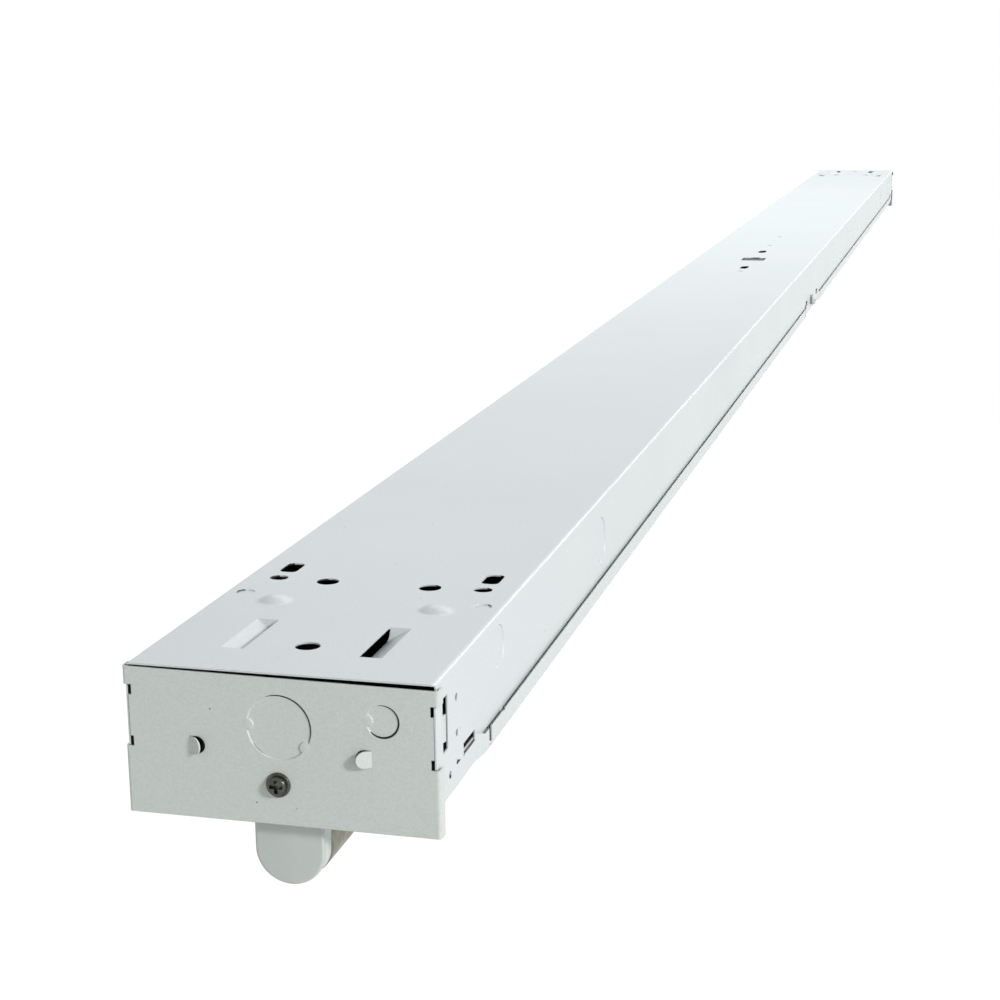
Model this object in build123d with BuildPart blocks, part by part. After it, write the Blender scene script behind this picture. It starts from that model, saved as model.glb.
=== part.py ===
"""Eight-foot strip light: a bent sheet channel that carries two tube lamps end to end.

Units are millimetres. X runs across the channel, Y along it and Z up. The origin is the middle
of the channel's top face, which goes against the ceiling.
"""
import os
from math import atan, cos, degrees, floor, radians, sin, sqrt

from build123d import *

# Sheet metal
SHEET = 0.6
BEND_R = 1.4
SEAT = 0.1
CLEAR = 0.3
RUNNING = 0.08
SIDES = (-1, 1)

# Channel
WIDTH = 108.0
SIDE_DEPTH = 43.4
HALF_W = WIDTH / 2
WALL_IN = HALF_W - SHEET
LOW = -SIDE_DEPTH

# Tube lamp and its two-pin caps
LAMP_LENGTH = 1199.4
LAMP_R = 12.7
TUBE_WALL = 1.0
CAP_LENGTH = 26.0
CAP_FACE = 1.5
SPIGOT_LENGTH = 8.0
SPIGOT_WALL = 0.9
SPIGOT_FIT = 0.05
PIN_R = 1.175
PIN_PITCH = 12.7
PIN_LENGTH = 6.7
PIN_ROOT = 4.0
PIN_FIT = 0.02
LAMP_DROP = 21.2
AXIS_Z = LOW - LAMP_DROP
TUBE_IN = LAMP_R - TUBE_WALL
SPIGOT_R = TUBE_IN - SPIGOT_FIT
SPIGOT_IN = SPIGOT_R - SPIGOT_WALL
PIN_X = PIN_PITCH / 2

# Light board, chips and driver inside a lamp
BOARD_W = 14.0
BOARD_T = 1.2
CHIP_PITCH = 18.0
CHIP_L = 3.5
CHIP_W = 2.8
CHIP_T = 0.7
DRIVER_LENGTH = 70.0
DRIVER_RISE = 2.0
DRIVER_T = 1.2
COIL_L = 14.0
COIL_W = 11.0
COIL_H = 6.0
CAPACITOR_R = 3.6
CAPACITOR_L = 12.0
DRIVER_PITCH = 20.0

# Lampholder
HOLDER_T = 7.6
HOLDER_R = 12.4
HOLDER_SETBACK = 5.5
HOLDER_PAIR_GAP = 0.8
LAMP_PLAY = 0.5
HOLDER_BACK_T = 1.1
HOLDER_BACK_EDGE_R = 1.0
HOLDER_EDGE_R = 0.5
FRONT_WALL = 1.0
HEAD_HALF = 9.0
HEAD_RISE = 6.4
HEAD_FRONT_STEP = 0.2
BARB_OUT = 1.0
BARB_H = 2.4
ROTOR_R = 8.5
ROTOR_T = 2.2
ROTOR_PLAY = 0.1
BOSS_R = 7.9
ENTRY_CLEAR = 0.45
PIN_SLOT_CLEAR = 0.275
CONTACT_T = 0.4
CONTACT_W = 2.2
CONTACT_HALF = 4.0
CONTACT_TOP = 13.0
CONTACT_REACH = 4.4
CHAMBER_TOP = 15.5
RING_T = 0.55
WIRE_X = 5.0
POCKET_R = ROTOR_R + RUNNING
PIN_SWEEP = PIN_X + PIN_R
CONTACT_X = PIN_SWEEP + CLEAR
CHAMBER_HALF = CONTACT_X + CONTACT_T + RUNNING
HEAD_TOP = LOW + SHEET + HEAD_RISE

# Whole length, from the lamps and their holders
LAMP_MID = HOLDER_PAIR_GAP / 2 + HOLDER_T + LAMP_PLAY + LAMP_LENGTH / 2
HALF_L = LAMP_MID + LAMP_LENGTH / 2 + LAMP_PLAY + HOLDER_T + HOLDER_SETBACK

# Fixing holes in the top face, by distance from the middle line and from the end
FIX_X = 20.3
FIX_SETBACK = 107.6
FIX_R = 4.3
OVAL_X = 40.6
OVAL_SETBACK = 109.0
OVAL_L = 7.2
OVAL_W = 6.2
SLOT_SETBACK = 123.6
SLOT_L = 12.8
SLOT_W = 7.0
SLOT_CORNER = 2.4
CENTRE_SETBACK = 29.8
CENTRE_R = 4.4
DOME_X = 31.0
DOME_SETBACK = 79.5
DOME_R = 7.4
DOME_H = 2.2
DOME_CROWN = 0.72
PLUG_X = 46.0
PLUG_SETBACK = 88.0
PLUG_R = 3.2
HANGER_X = 21.2
HANGER_W = 7.7
HANGER_SETBACK = 22.5
HANGER_L = 34.0
HANGER_DROP = 4.0
HANGER_SLOPE = 3.5
HANGER_ROUND = 4.0
MID_SLOT_L = 21.0
MID_SLOT_W = 22.0
MID_CORNER = 2.5
MID_BUMP_R = 4.5
MID_HOLE_Y = 65.0
MID_HOLE_L = 20.0
MID_HOLE_W = 7.0
PILOT_R = 2.1
PILOT_YS = (-94.0, 122.0, 208.0)
EARTH_Y = PILOT_YS[1]

# Knockouts
KO_PUSH = 0.5
KO_LIP = 0.3
KO_TIE_R = 1.9
KO_BUMP = 0.14
KO_TAPER = degrees(atan(KO_LIP / KO_PUSH))
TRADE_KO_R = 11.1
SIDE_SMALL_KO_R = 8.0
SIDE_SMALL_KO_SETBACK = 80.2
SIDE_SMALL_KO_Z = -12.4
SIDE_KO_SETBACK = 261.5
SIDE_KO_Z = -20.0
SIDE_KNOCKOUTS = (
    (SIDE_SMALL_KO_SETBACK, SIDE_SMALL_KO_Z, SIDE_SMALL_KO_R, (150, 270)),
    (SIDE_KO_SETBACK, SIDE_KO_Z, TRADE_KO_R, (180, 290)),
)

# Small cuts in the channel's sides near each end
RIVET_R = 1.3
RIVET_HOLES = ((24.2, -12.2), (24.4, -24.8), (15.7, -36.6))
TAB_SLOT_SETBACK = 10.8
TAB_SLOT_W = 5.8
TAB_SLOT_TOP = -7.6
TAB_SLOT_LOW = -26.4
NICK_SETBACK = 23.4
NICK_L = 5.2
NICK_H = 1.9
NICK_RISE = 7.4

# Wireway covers and the straps that hold their ends
COVER_GAP = 0.7
COVER_SETBACK = 64.8
COVER_MID = 70.0
COVER_RISE = 6.9
COVER_DROP = 0.65
COVER_NOTCH_L = 3.6
COVER_NOTCH_D = 0.5
COVER_NOTCH_IN = 18.0
TONGUE_L = 7.0
TONGUE_H = 1.2
JOGGLE_L = 1.0
TONGUE_FIT = 0.5
STRAP_GAP = 3.6
STRAP_PAD = 9.0
STRAP_RAMP = 9.0
STRAP_RELIEF = 1.0
STRAP_BEND_R = 5.0
STRAP_DIP = 3.4
WINDOW_L = 14.6
WINDOW_RISE = 11.8
WINDOW_H = 4.5
FLANGE_X = HALF_W + COVER_GAP + SHEET / 2
COVER_TOP = LOW + COVER_RISE
PAN_Z = LOW - COVER_DROP - SHEET / 2
TONGUE_X = FLANGE_X - SHEET - TONGUE_FIT
STRAP_ROOT = STRAP_PAD + STRAP_RAMP
WINDOW_TOP = LOW + WINDOW_RISE

# End plate
PLATE_FIT = 0.15
PLATE_OUT = 0.6
PLATE_GAP = 0.6
PLATE_SLANT = 1.0
PLATE_DROP = 9.6
PLATE_BEND = 0.9
FLANGE_DEPTH = 4.8
HEM_DEPTH = 3.4
NOTCH_TOP = -7.6
NOTCH_LOW = -29.4
NOTCH_IN = 3.05
NOTCH_RELIEF = 3.6
TAB_LENGTH = 7.6
BARB_TIP = 4.0
BARB_TRIM = 2.6
END_KO_Z = -18.8
END_SMALL_KO_R = 5.5
END_SMALL_KO_X = 36.0
END_SMALL_KO_Z = -14.0
END_KNOCKOUTS = (
    (0, END_KO_Z, TRADE_KO_R, (178, 325)),
    (END_SMALL_KO_X, END_SMALL_KO_Z, END_SMALL_KO_R, (180,)),
)
LANCE_X = 32.0
LANCE_Z = -27.2
LANCE_L = 5.4
LANCE_W = 5.8
LANCE_ANGLE = 32.0
SCREW_X = -0.8
SCREW_RISE = 4.6
SCREW_R = 2.0
SCREW_HOLE_R = 2.3
SCREW_FLANGE_R = 4.3
SCREW_FLANGE_T = 0.7
SCREW_FLANGE_EDGE = 0.3
SCREW_HEAD_R = 3.3
SCREW_HEAD_H = 2.5
SCREW_HEAD_EDGE = 1.3
SCREW_LENGTH = 5.0
RECESS_W = 1.3
RECESS_L = 4.6
RECESS_DEPTH = 1.4
PLATE_HALF = HALF_W + PLATE_OUT + SHEET
PLATE_TOP = -SHEET - PLATE_GAP
PLATE_LOW = LOW - PLATE_DROP
TAB_X = WALL_IN - PLATE_FIT - SHEET / 2
SCREW_Z = LOW + SCREW_RISE

# Socket brackets
EAR_FIT = 0.2
EAR_RISE = 8.8
EAR_FRONT = 26.0
CUTOUT_CLEAR = 0.3
UPSTAND_HALF = 16.0
UPSTAND_RISE = 10.0
LUG_SIDE_CLEAR = 0.8
LUG_OUT = 0.3
LUG_TOP = 4.2
EAR_X = WALL_IN - EAR_FIT - SHEET / 2
FLOOR_TOP = LOW + SHEET
FRONT_FLOOR = SHEET + SEAT
WALL_SETBACK = PLATE_BEND + SHEET / 2 + SEAT
NOSE_SETBACK = 0.2
NOSE_L = WALL_SETBACK - NOSE_SETBACK

# Turn latches on the centre bracket
LATCH_Y = 10.0
LATCH_RISE = 8.6
LATCH_SHAFT_R = 1.8
LATCH_EAR_HALF = 19.0
LATCH_EAR_RISE = 15.4
KNOB_R = 4.0
KNOB_L = 4.6
KNOB_EDGE = 1.6
DRIVE_SLOT_W = 1.2
DRIVE_SLOT_DEPTH = 1.2
CAM_L = 9.0
CAM_W = 4.0
CAM_T = 1.6
CAM_HUB_R = 2.6
CAM_GAP = 0.4
LATCH_Z = LOW + LATCH_RISE
CAM_X = EAR_X - SHEET / 2 - CAM_GAP - CAM_T / 2

# Terminal block, leads and earth screw
BLOCK_W = 34.0
BLOCK_L = 24.0
BLOCK_H = 16.0
BLOCK_EDGE = 1.0
POLE_PITCH = 10.0
POLE_DROP = 8.0
SLEEVE_R = 2.4
SLEEVE_BORE_R = 1.5
CLIP_W = 4.0
CLAMP_R = 1.5
CLAMP_Y = 5.5
CLAMP_DEPTH = 3.6
LEAD_R = 1.1
LEAD_FIT = 0.15
LEAD_BEND = 4.0
LEAD_STRIP = 5.0
LEAD_RISE = 8.0
LEAD_RUN_OFF = 22.0
LOOP_OUT = 14.0
EARTH_HEAD_R = 3.8
EARTH_HEAD_H = 2.2
RING_PLATE_R = 4.2
RING_PLATE_T = 0.8
BLOCK_TOP = -SHEET - SEAT
POLE_Z = BLOCK_TOP - POLE_DROP
LEAD_Z = FLOOR_TOP + LEAD_R + SEAT


def from_end(setback):
    """Y of a place that lies a setback in from the front end."""
    return -HALF_L + setback


def save(piece, name):
    """Names a finished piece and writes its file."""
    piece.part.label = name
    export_step(piece.part, f"parts/{name}.step")


def four_ways(part):
    """One corner's pattern and its mirror images over both middle planes."""
    pair = [part, mirror(part, about=Plane.YZ)]
    return pair + [mirror(half, about=Plane.XZ) for half in pair]


def reversed_piece(piece):
    """The same piece for the back end."""
    with BuildPart() as other:
        add(mirror(piece.part, about=Plane.XZ, mode=Mode.PRIVATE))
    return other


def pressed_slug(radius, ties):
    """Draws the mouth of a knockout that is pressed in part way, left whole at its ties."""
    Circle(radius + KO_LIP)
    for angle in ties:
        with PolarLocations(radius, 1, start_angle=angle):
            Circle(KO_TIE_R, mode=Mode.SUBTRACT)


def tie_bump():
    """Low round bump that a knockout's tie pulls out of the sheet."""
    with BuildPart() as piece:
        with BuildSketch(Plane.XZ):
            with BuildLine():
                Spline((0, KO_BUMP), (KO_TIE_R, 0), tangents=((1, 0), (1, 0)))
                Polyline((KO_TIE_R, 0), (KO_TIE_R, -SHEET), (0, -SHEET), (0, KO_BUMP))
            make_face()
        revolve(axis=Axis.Z)
    return piece


def dome():
    """Hollow stand-off pressed up from the top face: a round crown that flows into a round foot."""
    both = (DOME_R**2 + DOME_H**2) / (2 * DOME_H)
    crown = DOME_CROWN * both
    foot = both - crown
    waist = (DOME_CROWN * DOME_R, (1 - DOME_CROWN) * DOME_H)
    under = (waist[0], waist[1] - SHEET)
    with BuildPart() as piece:
        with BuildSketch(Plane.XZ):
            with BuildLine():
                RadiusArc((0, DOME_H), waist, crown)
                RadiusArc(waist, (DOME_R, 0), -foot)
                Line((DOME_R, 0), (DOME_R, -SHEET))
                RadiusArc((DOME_R, -SHEET), under, foot)
                RadiusArc(under, (0, DOME_H - SHEET), -crown)
                Line((0, DOME_H - SHEET), (0, DOME_H))
            make_face()
        revolve(axis=Axis.Z)
    return piece


def hanger_pocket(grow, reach):
    """Sloping pocket of a chain hanger: sheared open on two sides, shallow towards its hinge."""
    front = from_end(HANGER_SETBACK)
    back = front + HANGER_L
    drop = HANGER_DROP + grow
    hinge = HANGER_X + HANGER_W
    with BuildPart() as piece:
        with BuildSketch(Plane.YZ.offset(HANGER_X - reach)) as outline:
            Polygon(
                (front, 0),
                (back + grow, 0),
                (back - HANGER_SLOPE + grow, -drop),
                (front, -drop),
                align=None,
            )
            foot = outline.vertices().group_by(Axis.Y)[0].sort_by(Axis.X)[-1]
            fillet(foot, HANGER_ROUND)
        extrude(amount=HANGER_W + reach)
        slope = Plane(
            origin=(hinge, 0, -grow),
            x_dir=(0, 1, 0),
            z_dir=(-HANGER_DROP, 0, HANGER_W),
        )
        split(bisect_by=slope, keep=Keep.TOP)
    return piece


def strap_points(end_y, away):
    """Outline on the side wall of the opening that a cover strap is pushed out of."""
    return (
        (end_y - away * STRAP_RELIEF, LOW - SEAT),
        (end_y - away * STRAP_RELIEF, COVER_TOP),
        (end_y + away * STRAP_PAD, COVER_TOP),
        (end_y + away * STRAP_ROOT, COVER_TOP + STRAP_DIP),
        (end_y + away * STRAP_ROOT, LOW - SEAT),
    )


def strap_web(end_y, away):
    """Sheet along a strap's top edge that still joins it to the side wall."""
    start = end_y + away * STRAP_GAP
    bend = end_y + away * STRAP_PAD
    root = end_y + away * STRAP_ROOT
    with BuildPart() as piece:
        with BuildSketch(Plane.XY.offset(LOW)):
            Polygon(
                (WALL_IN, start),
                (FLANGE_X, start),
                (FLANGE_X, bend),
                (HALF_W - SHEET / 2, root),
                (WALL_IN, root),
                align=None,
            )
        extrude(amount=COVER_RISE + STRAP_DIP)
        with BuildSketch(Plane.YZ):
            Polygon(
                (start, COVER_TOP - SHEET),
                (bend, COVER_TOP - SHEET),
                (root, COVER_TOP + STRAP_DIP - SHEET),
                (root, COVER_TOP + STRAP_DIP),
                (bend, COVER_TOP),
                (start, COVER_TOP),
                align=None,
            )
        extrude(amount=WIDTH, mode=Mode.INTERSECT)
    return piece


def strap(end_y, away):
    """Strap pushed out from the side wall until it is level with the cover's flange."""
    web = strap_web(end_y, away)
    with BuildPart() as piece:
        with BuildSketch(Plane.XY.offset(LOW)):
            with BuildLine():
                FilletPolyline(
                    (FLANGE_X, end_y + away * STRAP_GAP),
                    (FLANGE_X, end_y + away * STRAP_PAD),
                    (HALF_W - SHEET / 2, end_y + away * STRAP_ROOT),
                    (HALF_W - SHEET / 2, end_y + away * (STRAP_ROOT + STRAP_PAD)),
                    radius=STRAP_BEND_R,
                )
            trace(line_width=SHEET)
        extrude(amount=COVER_RISE + STRAP_DIP)
        with BuildSketch(Plane.YZ):
            Polygon(*strap_points(end_y, away), align=None)
            with Locations((end_y + away * (STRAP_ROOT + STRAP_PAD / 2), LOW + COVER_RISE / 2)):
                Rectangle(STRAP_PAD, COVER_RISE)
        extrude(amount=WIDTH, mode=Mode.INTERSECT)
        add(web.part)
    return piece


FRONT_STRAP = (from_end(COVER_SETBACK), -1)
MIDDLE_STRAP = (-COVER_MID, 1)
STRAPS = (FRONT_STRAP, MIDDLE_STRAP)


def window_middle(end_y, away):
    """Y of the middle of the lug window that goes with a strap."""
    return end_y + away * (STRAP_ROOT + WINDOW_L / 2)


def corner_cuts():
    """All that is pierced in one quarter of the channel."""
    pocket = hanger_pocket(0, SHEET)
    with BuildPart() as piece:
        with BuildSketch(Plane.XY.offset(SHEET)):
            with Locations((FIX_X, from_end(FIX_SETBACK))):
                Circle(FIX_R)
            with Locations((OVAL_X, from_end(OVAL_SETBACK))):
                SlotOverall(OVAL_L, OVAL_W)
            with Locations((OVAL_X, from_end(SLOT_SETBACK))):
                RectangleRounded(SLOT_W, SLOT_L, SLOT_CORNER)
            with Locations((0, from_end(CENTRE_SETBACK))):
                Circle(CENTRE_R)
            with Locations((DOME_X, from_end(DOME_SETBACK))):
                Circle(DOME_R - SHEET)
            hanger_y = from_end(HANGER_SETBACK + HANGER_L / 2)
            with Locations((HANGER_X + HANGER_W / 2, hanger_y)):
                Rectangle(HANGER_W, HANGER_L)
        extrude(amount=-3 * SHEET)
        with BuildSketch(Plane.XY):
            with Locations((PLUG_X, from_end(PLUG_SETBACK))):
                pressed_slug(PLUG_R, (270,))
        extrude(amount=-KO_PUSH, taper=KO_TAPER)
        with BuildSketch(Plane.YZ.offset(HALF_W)):
            for setback, z, radius, ties in SIDE_KNOCKOUTS:
                with Locations((from_end(setback), z)):
                    pressed_slug(radius, ties)
        extrude(amount=-KO_PUSH, taper=KO_TAPER)
        with BuildSketch(Plane.YZ.offset(HALF_W + SHEET)):
            slot_z = (TAB_SLOT_TOP + TAB_SLOT_LOW) / 2
            with Locations((from_end(TAB_SLOT_SETBACK), slot_z)):
                Rectangle(TAB_SLOT_W, TAB_SLOT_TOP - TAB_SLOT_LOW)
            with Locations(*[(from_end(setback), z) for setback, z in RIVET_HOLES]):
                Circle(RIVET_R)
            nick = from_end(NICK_SETBACK)
            nick_z = LOW + NICK_RISE
            Polygon((nick, nick_z), (nick + NICK_L, nick_z), (nick, nick_z + NICK_H), align=None)
            for end_y, away in STRAPS:
                with Locations((window_middle(end_y, away), WINDOW_TOP - WINDOW_H / 2)):
                    Rectangle(WINDOW_L, WINDOW_H)
                Polygon(*strap_points(end_y, away), align=None)
            with Locations((-HALF_L, (LOW - SHEET - SEAT) / 2)):
                Rectangle(2 * WALL_SETBACK, SIDE_DEPTH - SHEET + SEAT)
            nose_y = from_end(NOSE_SETBACK + NOSE_L / 2)
            with Locations((nose_y, (NOTCH_TOP + NOTCH_LOW) / 2)):
                Rectangle(NOSE_L, NOTCH_TOP - NOTCH_LOW - 2 * CLEAR, mode=Mode.SUBTRACT)
        extrude(amount=-3 * SHEET)
        add(pocket.part)
    return piece


def corner_forms():
    """All that is pressed out of one quarter of the channel."""
    cup = hanger_pocket(SHEET, 0)
    hollow = hanger_pocket(0, SHEET)
    standoff = dome()
    arms = [strap(end_y, away) for end_y, away in STRAPS]
    with BuildPart() as piece:
        add(cup.part)
        add(hollow.part, mode=Mode.SUBTRACT)
        add(standoff.part.moved(Location((DOME_X, from_end(DOME_SETBACK), 0))))
        for arm in arms:
            add(arm.part)
        with BuildSketch(Plane.YZ.offset(WALL_IN)):
            for setback, z, radius, _ in SIDE_KNOCKOUTS:
                with Locations((from_end(setback), z)):
                    Circle(radius)
        extrude(amount=-KO_PUSH)
        with BuildSketch(Plane.XY.offset(-SHEET)):
            with Locations((PLUG_X, from_end(PLUG_SETBACK))):
                Circle(PLUG_R)
        extrude(amount=-KO_PUSH)
    return piece


def housing_channel():
    """The bent channel with its holes, knockouts, hangers, stand-offs and straps."""
    cuts = four_ways(corner_cuts().part)
    forms = four_ways(corner_forms().part)
    with BuildPart() as piece:
        with BuildSketch(Plane.XZ):
            with BuildLine():
                middle = HALF_W - SHEET / 2
                FilletPolyline(
                    (-middle, LOW),
                    (-middle, -SHEET / 2),
                    (middle, -SHEET / 2),
                    (middle, LOW),
                    radius=BEND_R,
                )
            trace(line_width=SHEET)
        extrude(amount=HALF_L, both=True)
        for cut in cuts:
            add(cut, mode=Mode.SUBTRACT)
        for form in forms:
            add(form)
        with BuildSketch(Plane.XY.offset(SHEET)):
            RectangleRounded(MID_SLOT_L, MID_SLOT_W, MID_CORNER)
            with Locations((0, MID_SLOT_W / 2)):
                Circle(MID_BUMP_R)
            with GridLocations(0, 2 * MID_HOLE_Y, 1, 2):
                SlotOverall(MID_HOLE_L, MID_HOLE_W, rotation=90)
            with Locations(*[(0, y) for y in PILOT_YS]):
                Circle(PILOT_R)
        extrude(amount=-3 * SHEET, mode=Mode.SUBTRACT)
        for side in SIDES:
            with BuildSketch(Plane.YZ.offset(side * (HALF_W + SHEET))):
                with Locations((-side * LATCH_Y, LATCH_Z)):
                    Circle(LATCH_SHAFT_R + RUNNING)
            extrude(amount=-side * 3 * SHEET, mode=Mode.SUBTRACT)
    return piece


def end_plate():
    """Front end plate: knockouts, lanced tabs, outer flanges and the two barbed inner tabs."""
    face = Plane.XZ.offset(HALF_L)
    tab_top = NOTCH_TOP - NOTCH_RELIEF
    tab_low = NOTCH_LOW + NOTCH_RELIEF
    tab_mid = (tab_top + tab_low) / 2
    bump = tie_bump()
    with BuildPart() as piece:
        with BuildSketch(Plane.XY.offset(PLATE_LOW)):
            with BuildLine():
                middle = PLATE_HALF - SHEET / 2
                FilletPolyline(
                    (-middle, -HALF_L + FLANGE_DEPTH),
                    (-middle, -HALF_L + SHEET / 2),
                    (middle, -HALF_L + SHEET / 2),
                    (middle, -HALF_L + FLANGE_DEPTH),
                    radius=PLATE_BEND,
                )
            trace(line_width=SHEET)
        extrude(amount=PLATE_TOP - PLATE_LOW)
        with BuildSketch(face):
            with Locations((0, PLATE_LOW + SHEET / 2)):
                Rectangle(2 * (PLATE_HALF - PLATE_BEND - SHEET), SHEET)
        extrude(amount=-HEM_DEPTH)
        with BuildSketch(face.offset(-SHEET)):
            for x, z, radius, _ in END_KNOCKOUTS:
                with Locations((x, z)):
                    Circle(radius)
        extrude(amount=-KO_PUSH)
        with BuildSketch(face):
            for x, z, radius, ties in END_KNOCKOUTS:
                with Locations((x, z)):
                    pressed_slug(radius, ties)
        extrude(amount=-KO_PUSH, taper=KO_TAPER, mode=Mode.SUBTRACT)
        for x, z, radius, ties in END_KNOCKOUTS:
            for angle in ties:
                spot = face.location * Pos(x, z) * Rot(0, 0, angle) * Pos(radius, 0)
                add(bump.part.moved(spot))
        with BuildSketch(face):
            Polygon(
                (-PLATE_HALF, PLATE_TOP),
                (PLATE_HALF, PLATE_TOP),
                (PLATE_HALF, PLATE_TOP - PLATE_SLANT),
                align=None,
            )
            for side in SIDES:
                with Locations((side * PLATE_HALF, (NOTCH_TOP + NOTCH_LOW) / 2)):
                    Rectangle(2 * NOTCH_IN, NOTCH_TOP - NOTCH_LOW)
        extrude(amount=-FLANGE_DEPTH, mode=Mode.SUBTRACT)
        with BuildSketch(face):
            for side in SIDES:
                with Locations((side * LANCE_X, LANCE_Z)):
                    Rectangle(2 * (LANCE_L - LANCE_W / 2), LANCE_W + CLEAR)
                with Locations((side * (LANCE_X - LANCE_L + LANCE_W / 2), LANCE_Z)):
                    Circle((LANCE_W + CLEAR) / 2)
                with Locations((side * (LANCE_X + LANCE_L), LANCE_Z)):
                    Rectangle(2 * LANCE_L, 2 * LANCE_W, mode=Mode.SUBTRACT)
            with Locations((SCREW_X, SCREW_Z)):
                Circle(SCREW_HOLE_R)
        extrude(amount=-SHEET, mode=Mode.SUBTRACT)
        with BuildSketch(face):
            for side in SIDES:
                with Locations((side * (PLATE_HALF - NOTCH_IN), tab_mid)):
                    Rectangle(2 * (NOTCH_IN - PLATE_HALF + TAB_X + SHEET / 2), tab_top - tab_low)
        extrude(amount=-SHEET)
        for side in SIDES:
            bend_y = -HALF_L + TAB_LENGTH
            with BuildSketch(Plane.XY.offset(tab_low)):
                with BuildLine():
                    Line((side * TAB_X, -HALF_L), (side * TAB_X, bend_y))
                trace(line_width=SHEET)
            extrude(amount=tab_top - tab_low)
            with BuildSketch(Plane.XY.offset(tab_low + BARB_TRIM)):
                with BuildLine():
                    Polyline(
                        (side * TAB_X, bend_y - SHEET),
                        (side * TAB_X, bend_y),
                        (side * (HALF_W - SHEET / 2), bend_y + BARB_TIP),
                    )
                trace(line_width=SHEET)
            extrude(amount=tab_top - tab_low - 2 * BARB_TRIM)
            along = (-side * cos(radians(LANCE_ANGLE)), -sin(radians(LANCE_ANGLE)), 0)
            across = (along[1], -along[0], 0)
            leaf = Plane(origin=(side * LANCE_X, -HALF_L, LANCE_Z), x_dir=along, z_dir=across)
            with BuildSketch(leaf):
                with Locations(((LANCE_L - LANCE_W / 2 - SHEET) / 2, 0)):
                    Rectangle(LANCE_L - LANCE_W / 2 + SHEET, LANCE_W)
                with Locations((LANCE_L - LANCE_W / 2, 0)):
                    Circle(LANCE_W / 2)
            extrude(amount=side * SHEET)
    return piece


def cross_recess():
    """Cuts a cross drive into the open face of a screw head in the open sketch."""
    Rectangle(RECESS_L, RECESS_W)
    Rectangle(RECESS_W, RECESS_L)


def end_plate_screws():
    """One flanged pan-head screw through each end plate into the socket bracket behind it."""
    with BuildPart() as front:
        head = Plane.XZ.offset(HALF_L + SEAT)
        with BuildSketch(head):
            with Locations((SCREW_X, SCREW_Z)):
                Circle(SCREW_FLANGE_R)
        extrude(amount=SCREW_FLANGE_T)
        fillet(front.edges().group_by(Axis.Y)[0], SCREW_FLANGE_EDGE)
        with BuildSketch(head):
            with Locations((SCREW_X, SCREW_Z)):
                Circle(SCREW_HEAD_R)
        extrude(amount=SCREW_HEAD_H)
        fillet(front.edges().group_by(Axis.Y)[0], SCREW_HEAD_EDGE)
        with BuildSketch(head.offset(SCREW_HEAD_H)):
            with Locations((SCREW_X, SCREW_Z)):
                cross_recess()
        extrude(amount=-RECESS_DEPTH, mode=Mode.SUBTRACT)
        with BuildSketch(head):
            with Locations((SCREW_X, SCREW_Z)):
                Circle(SCREW_R)
        extrude(amount=-SCREW_LENGTH)
    with BuildPart() as pair:
        add(front.part)
        add(mirror(front.part, about=Plane.XZ, mode=Mode.PRIVATE))
    return pair


def cover():
    """Front wireway cover: a shallow pan whose flanges stand outside the channel's sides."""
    front = from_end(COVER_SETBACK)
    back = -COVER_MID
    with BuildPart() as piece:
        with BuildSketch(Plane.XZ.offset(-back)):
            with BuildLine():
                FilletPolyline(
                    (-FLANGE_X, COVER_TOP),
                    (-FLANGE_X, PAN_Z),
                    (FLANGE_X, PAN_Z),
                    (FLANGE_X, COVER_TOP),
                    radius=BEND_R,
                )
            trace(line_width=SHEET)
        extrude(amount=back - front)
        for side in SIDES:
            for start, away in ((front, -1), (back, 1)):
                with BuildSketch(Plane.XY.offset(LOW)):
                    with BuildLine():
                        Polyline(
                            (side * FLANGE_X, start - away * SHEET),
                            (side * FLANGE_X, start),
                            (side * TONGUE_X, start + away * JOGGLE_L),
                            (side * TONGUE_X, start + away * (JOGGLE_L + TONGUE_L)),
                        )
                    trace(line_width=SHEET)
                extrude(amount=TONGUE_H)
            with BuildSketch(Plane.YZ.offset(side * HALF_W)):
                with Locations((front + COVER_NOTCH_IN, COVER_TOP), (back - COVER_NOTCH_IN, COVER_TOP)):
                    Rectangle(COVER_NOTCH_L, 2 * COVER_NOTCH_D)
            extrude(amount=side * 3 * SHEET, mode=Mode.SUBTRACT)
    return piece


def bracket_lugs(middles):
    """Snap lugs that lean out of a bracket's ears to rest on the sills of the channel's windows."""
    sill = WINDOW_TOP - WINDOW_H + SEAT
    reach = HALF_W + LUG_OUT
    with BuildPart() as piece:
        for middle in middles:
            with BuildSketch(Plane.XZ.offset(-middle)):
                for side in SIDES:
                    with BuildLine():
                        Line(
                            (side * EAR_X, WINDOW_TOP - LUG_TOP),
                            (side * reach, sill + SHEET / 2),
                        )
                    trace(line_width=SHEET)
            extrude(amount=WINDOW_L / 2 - LUG_SIDE_CLEAR, both=True)
    return piece


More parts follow.
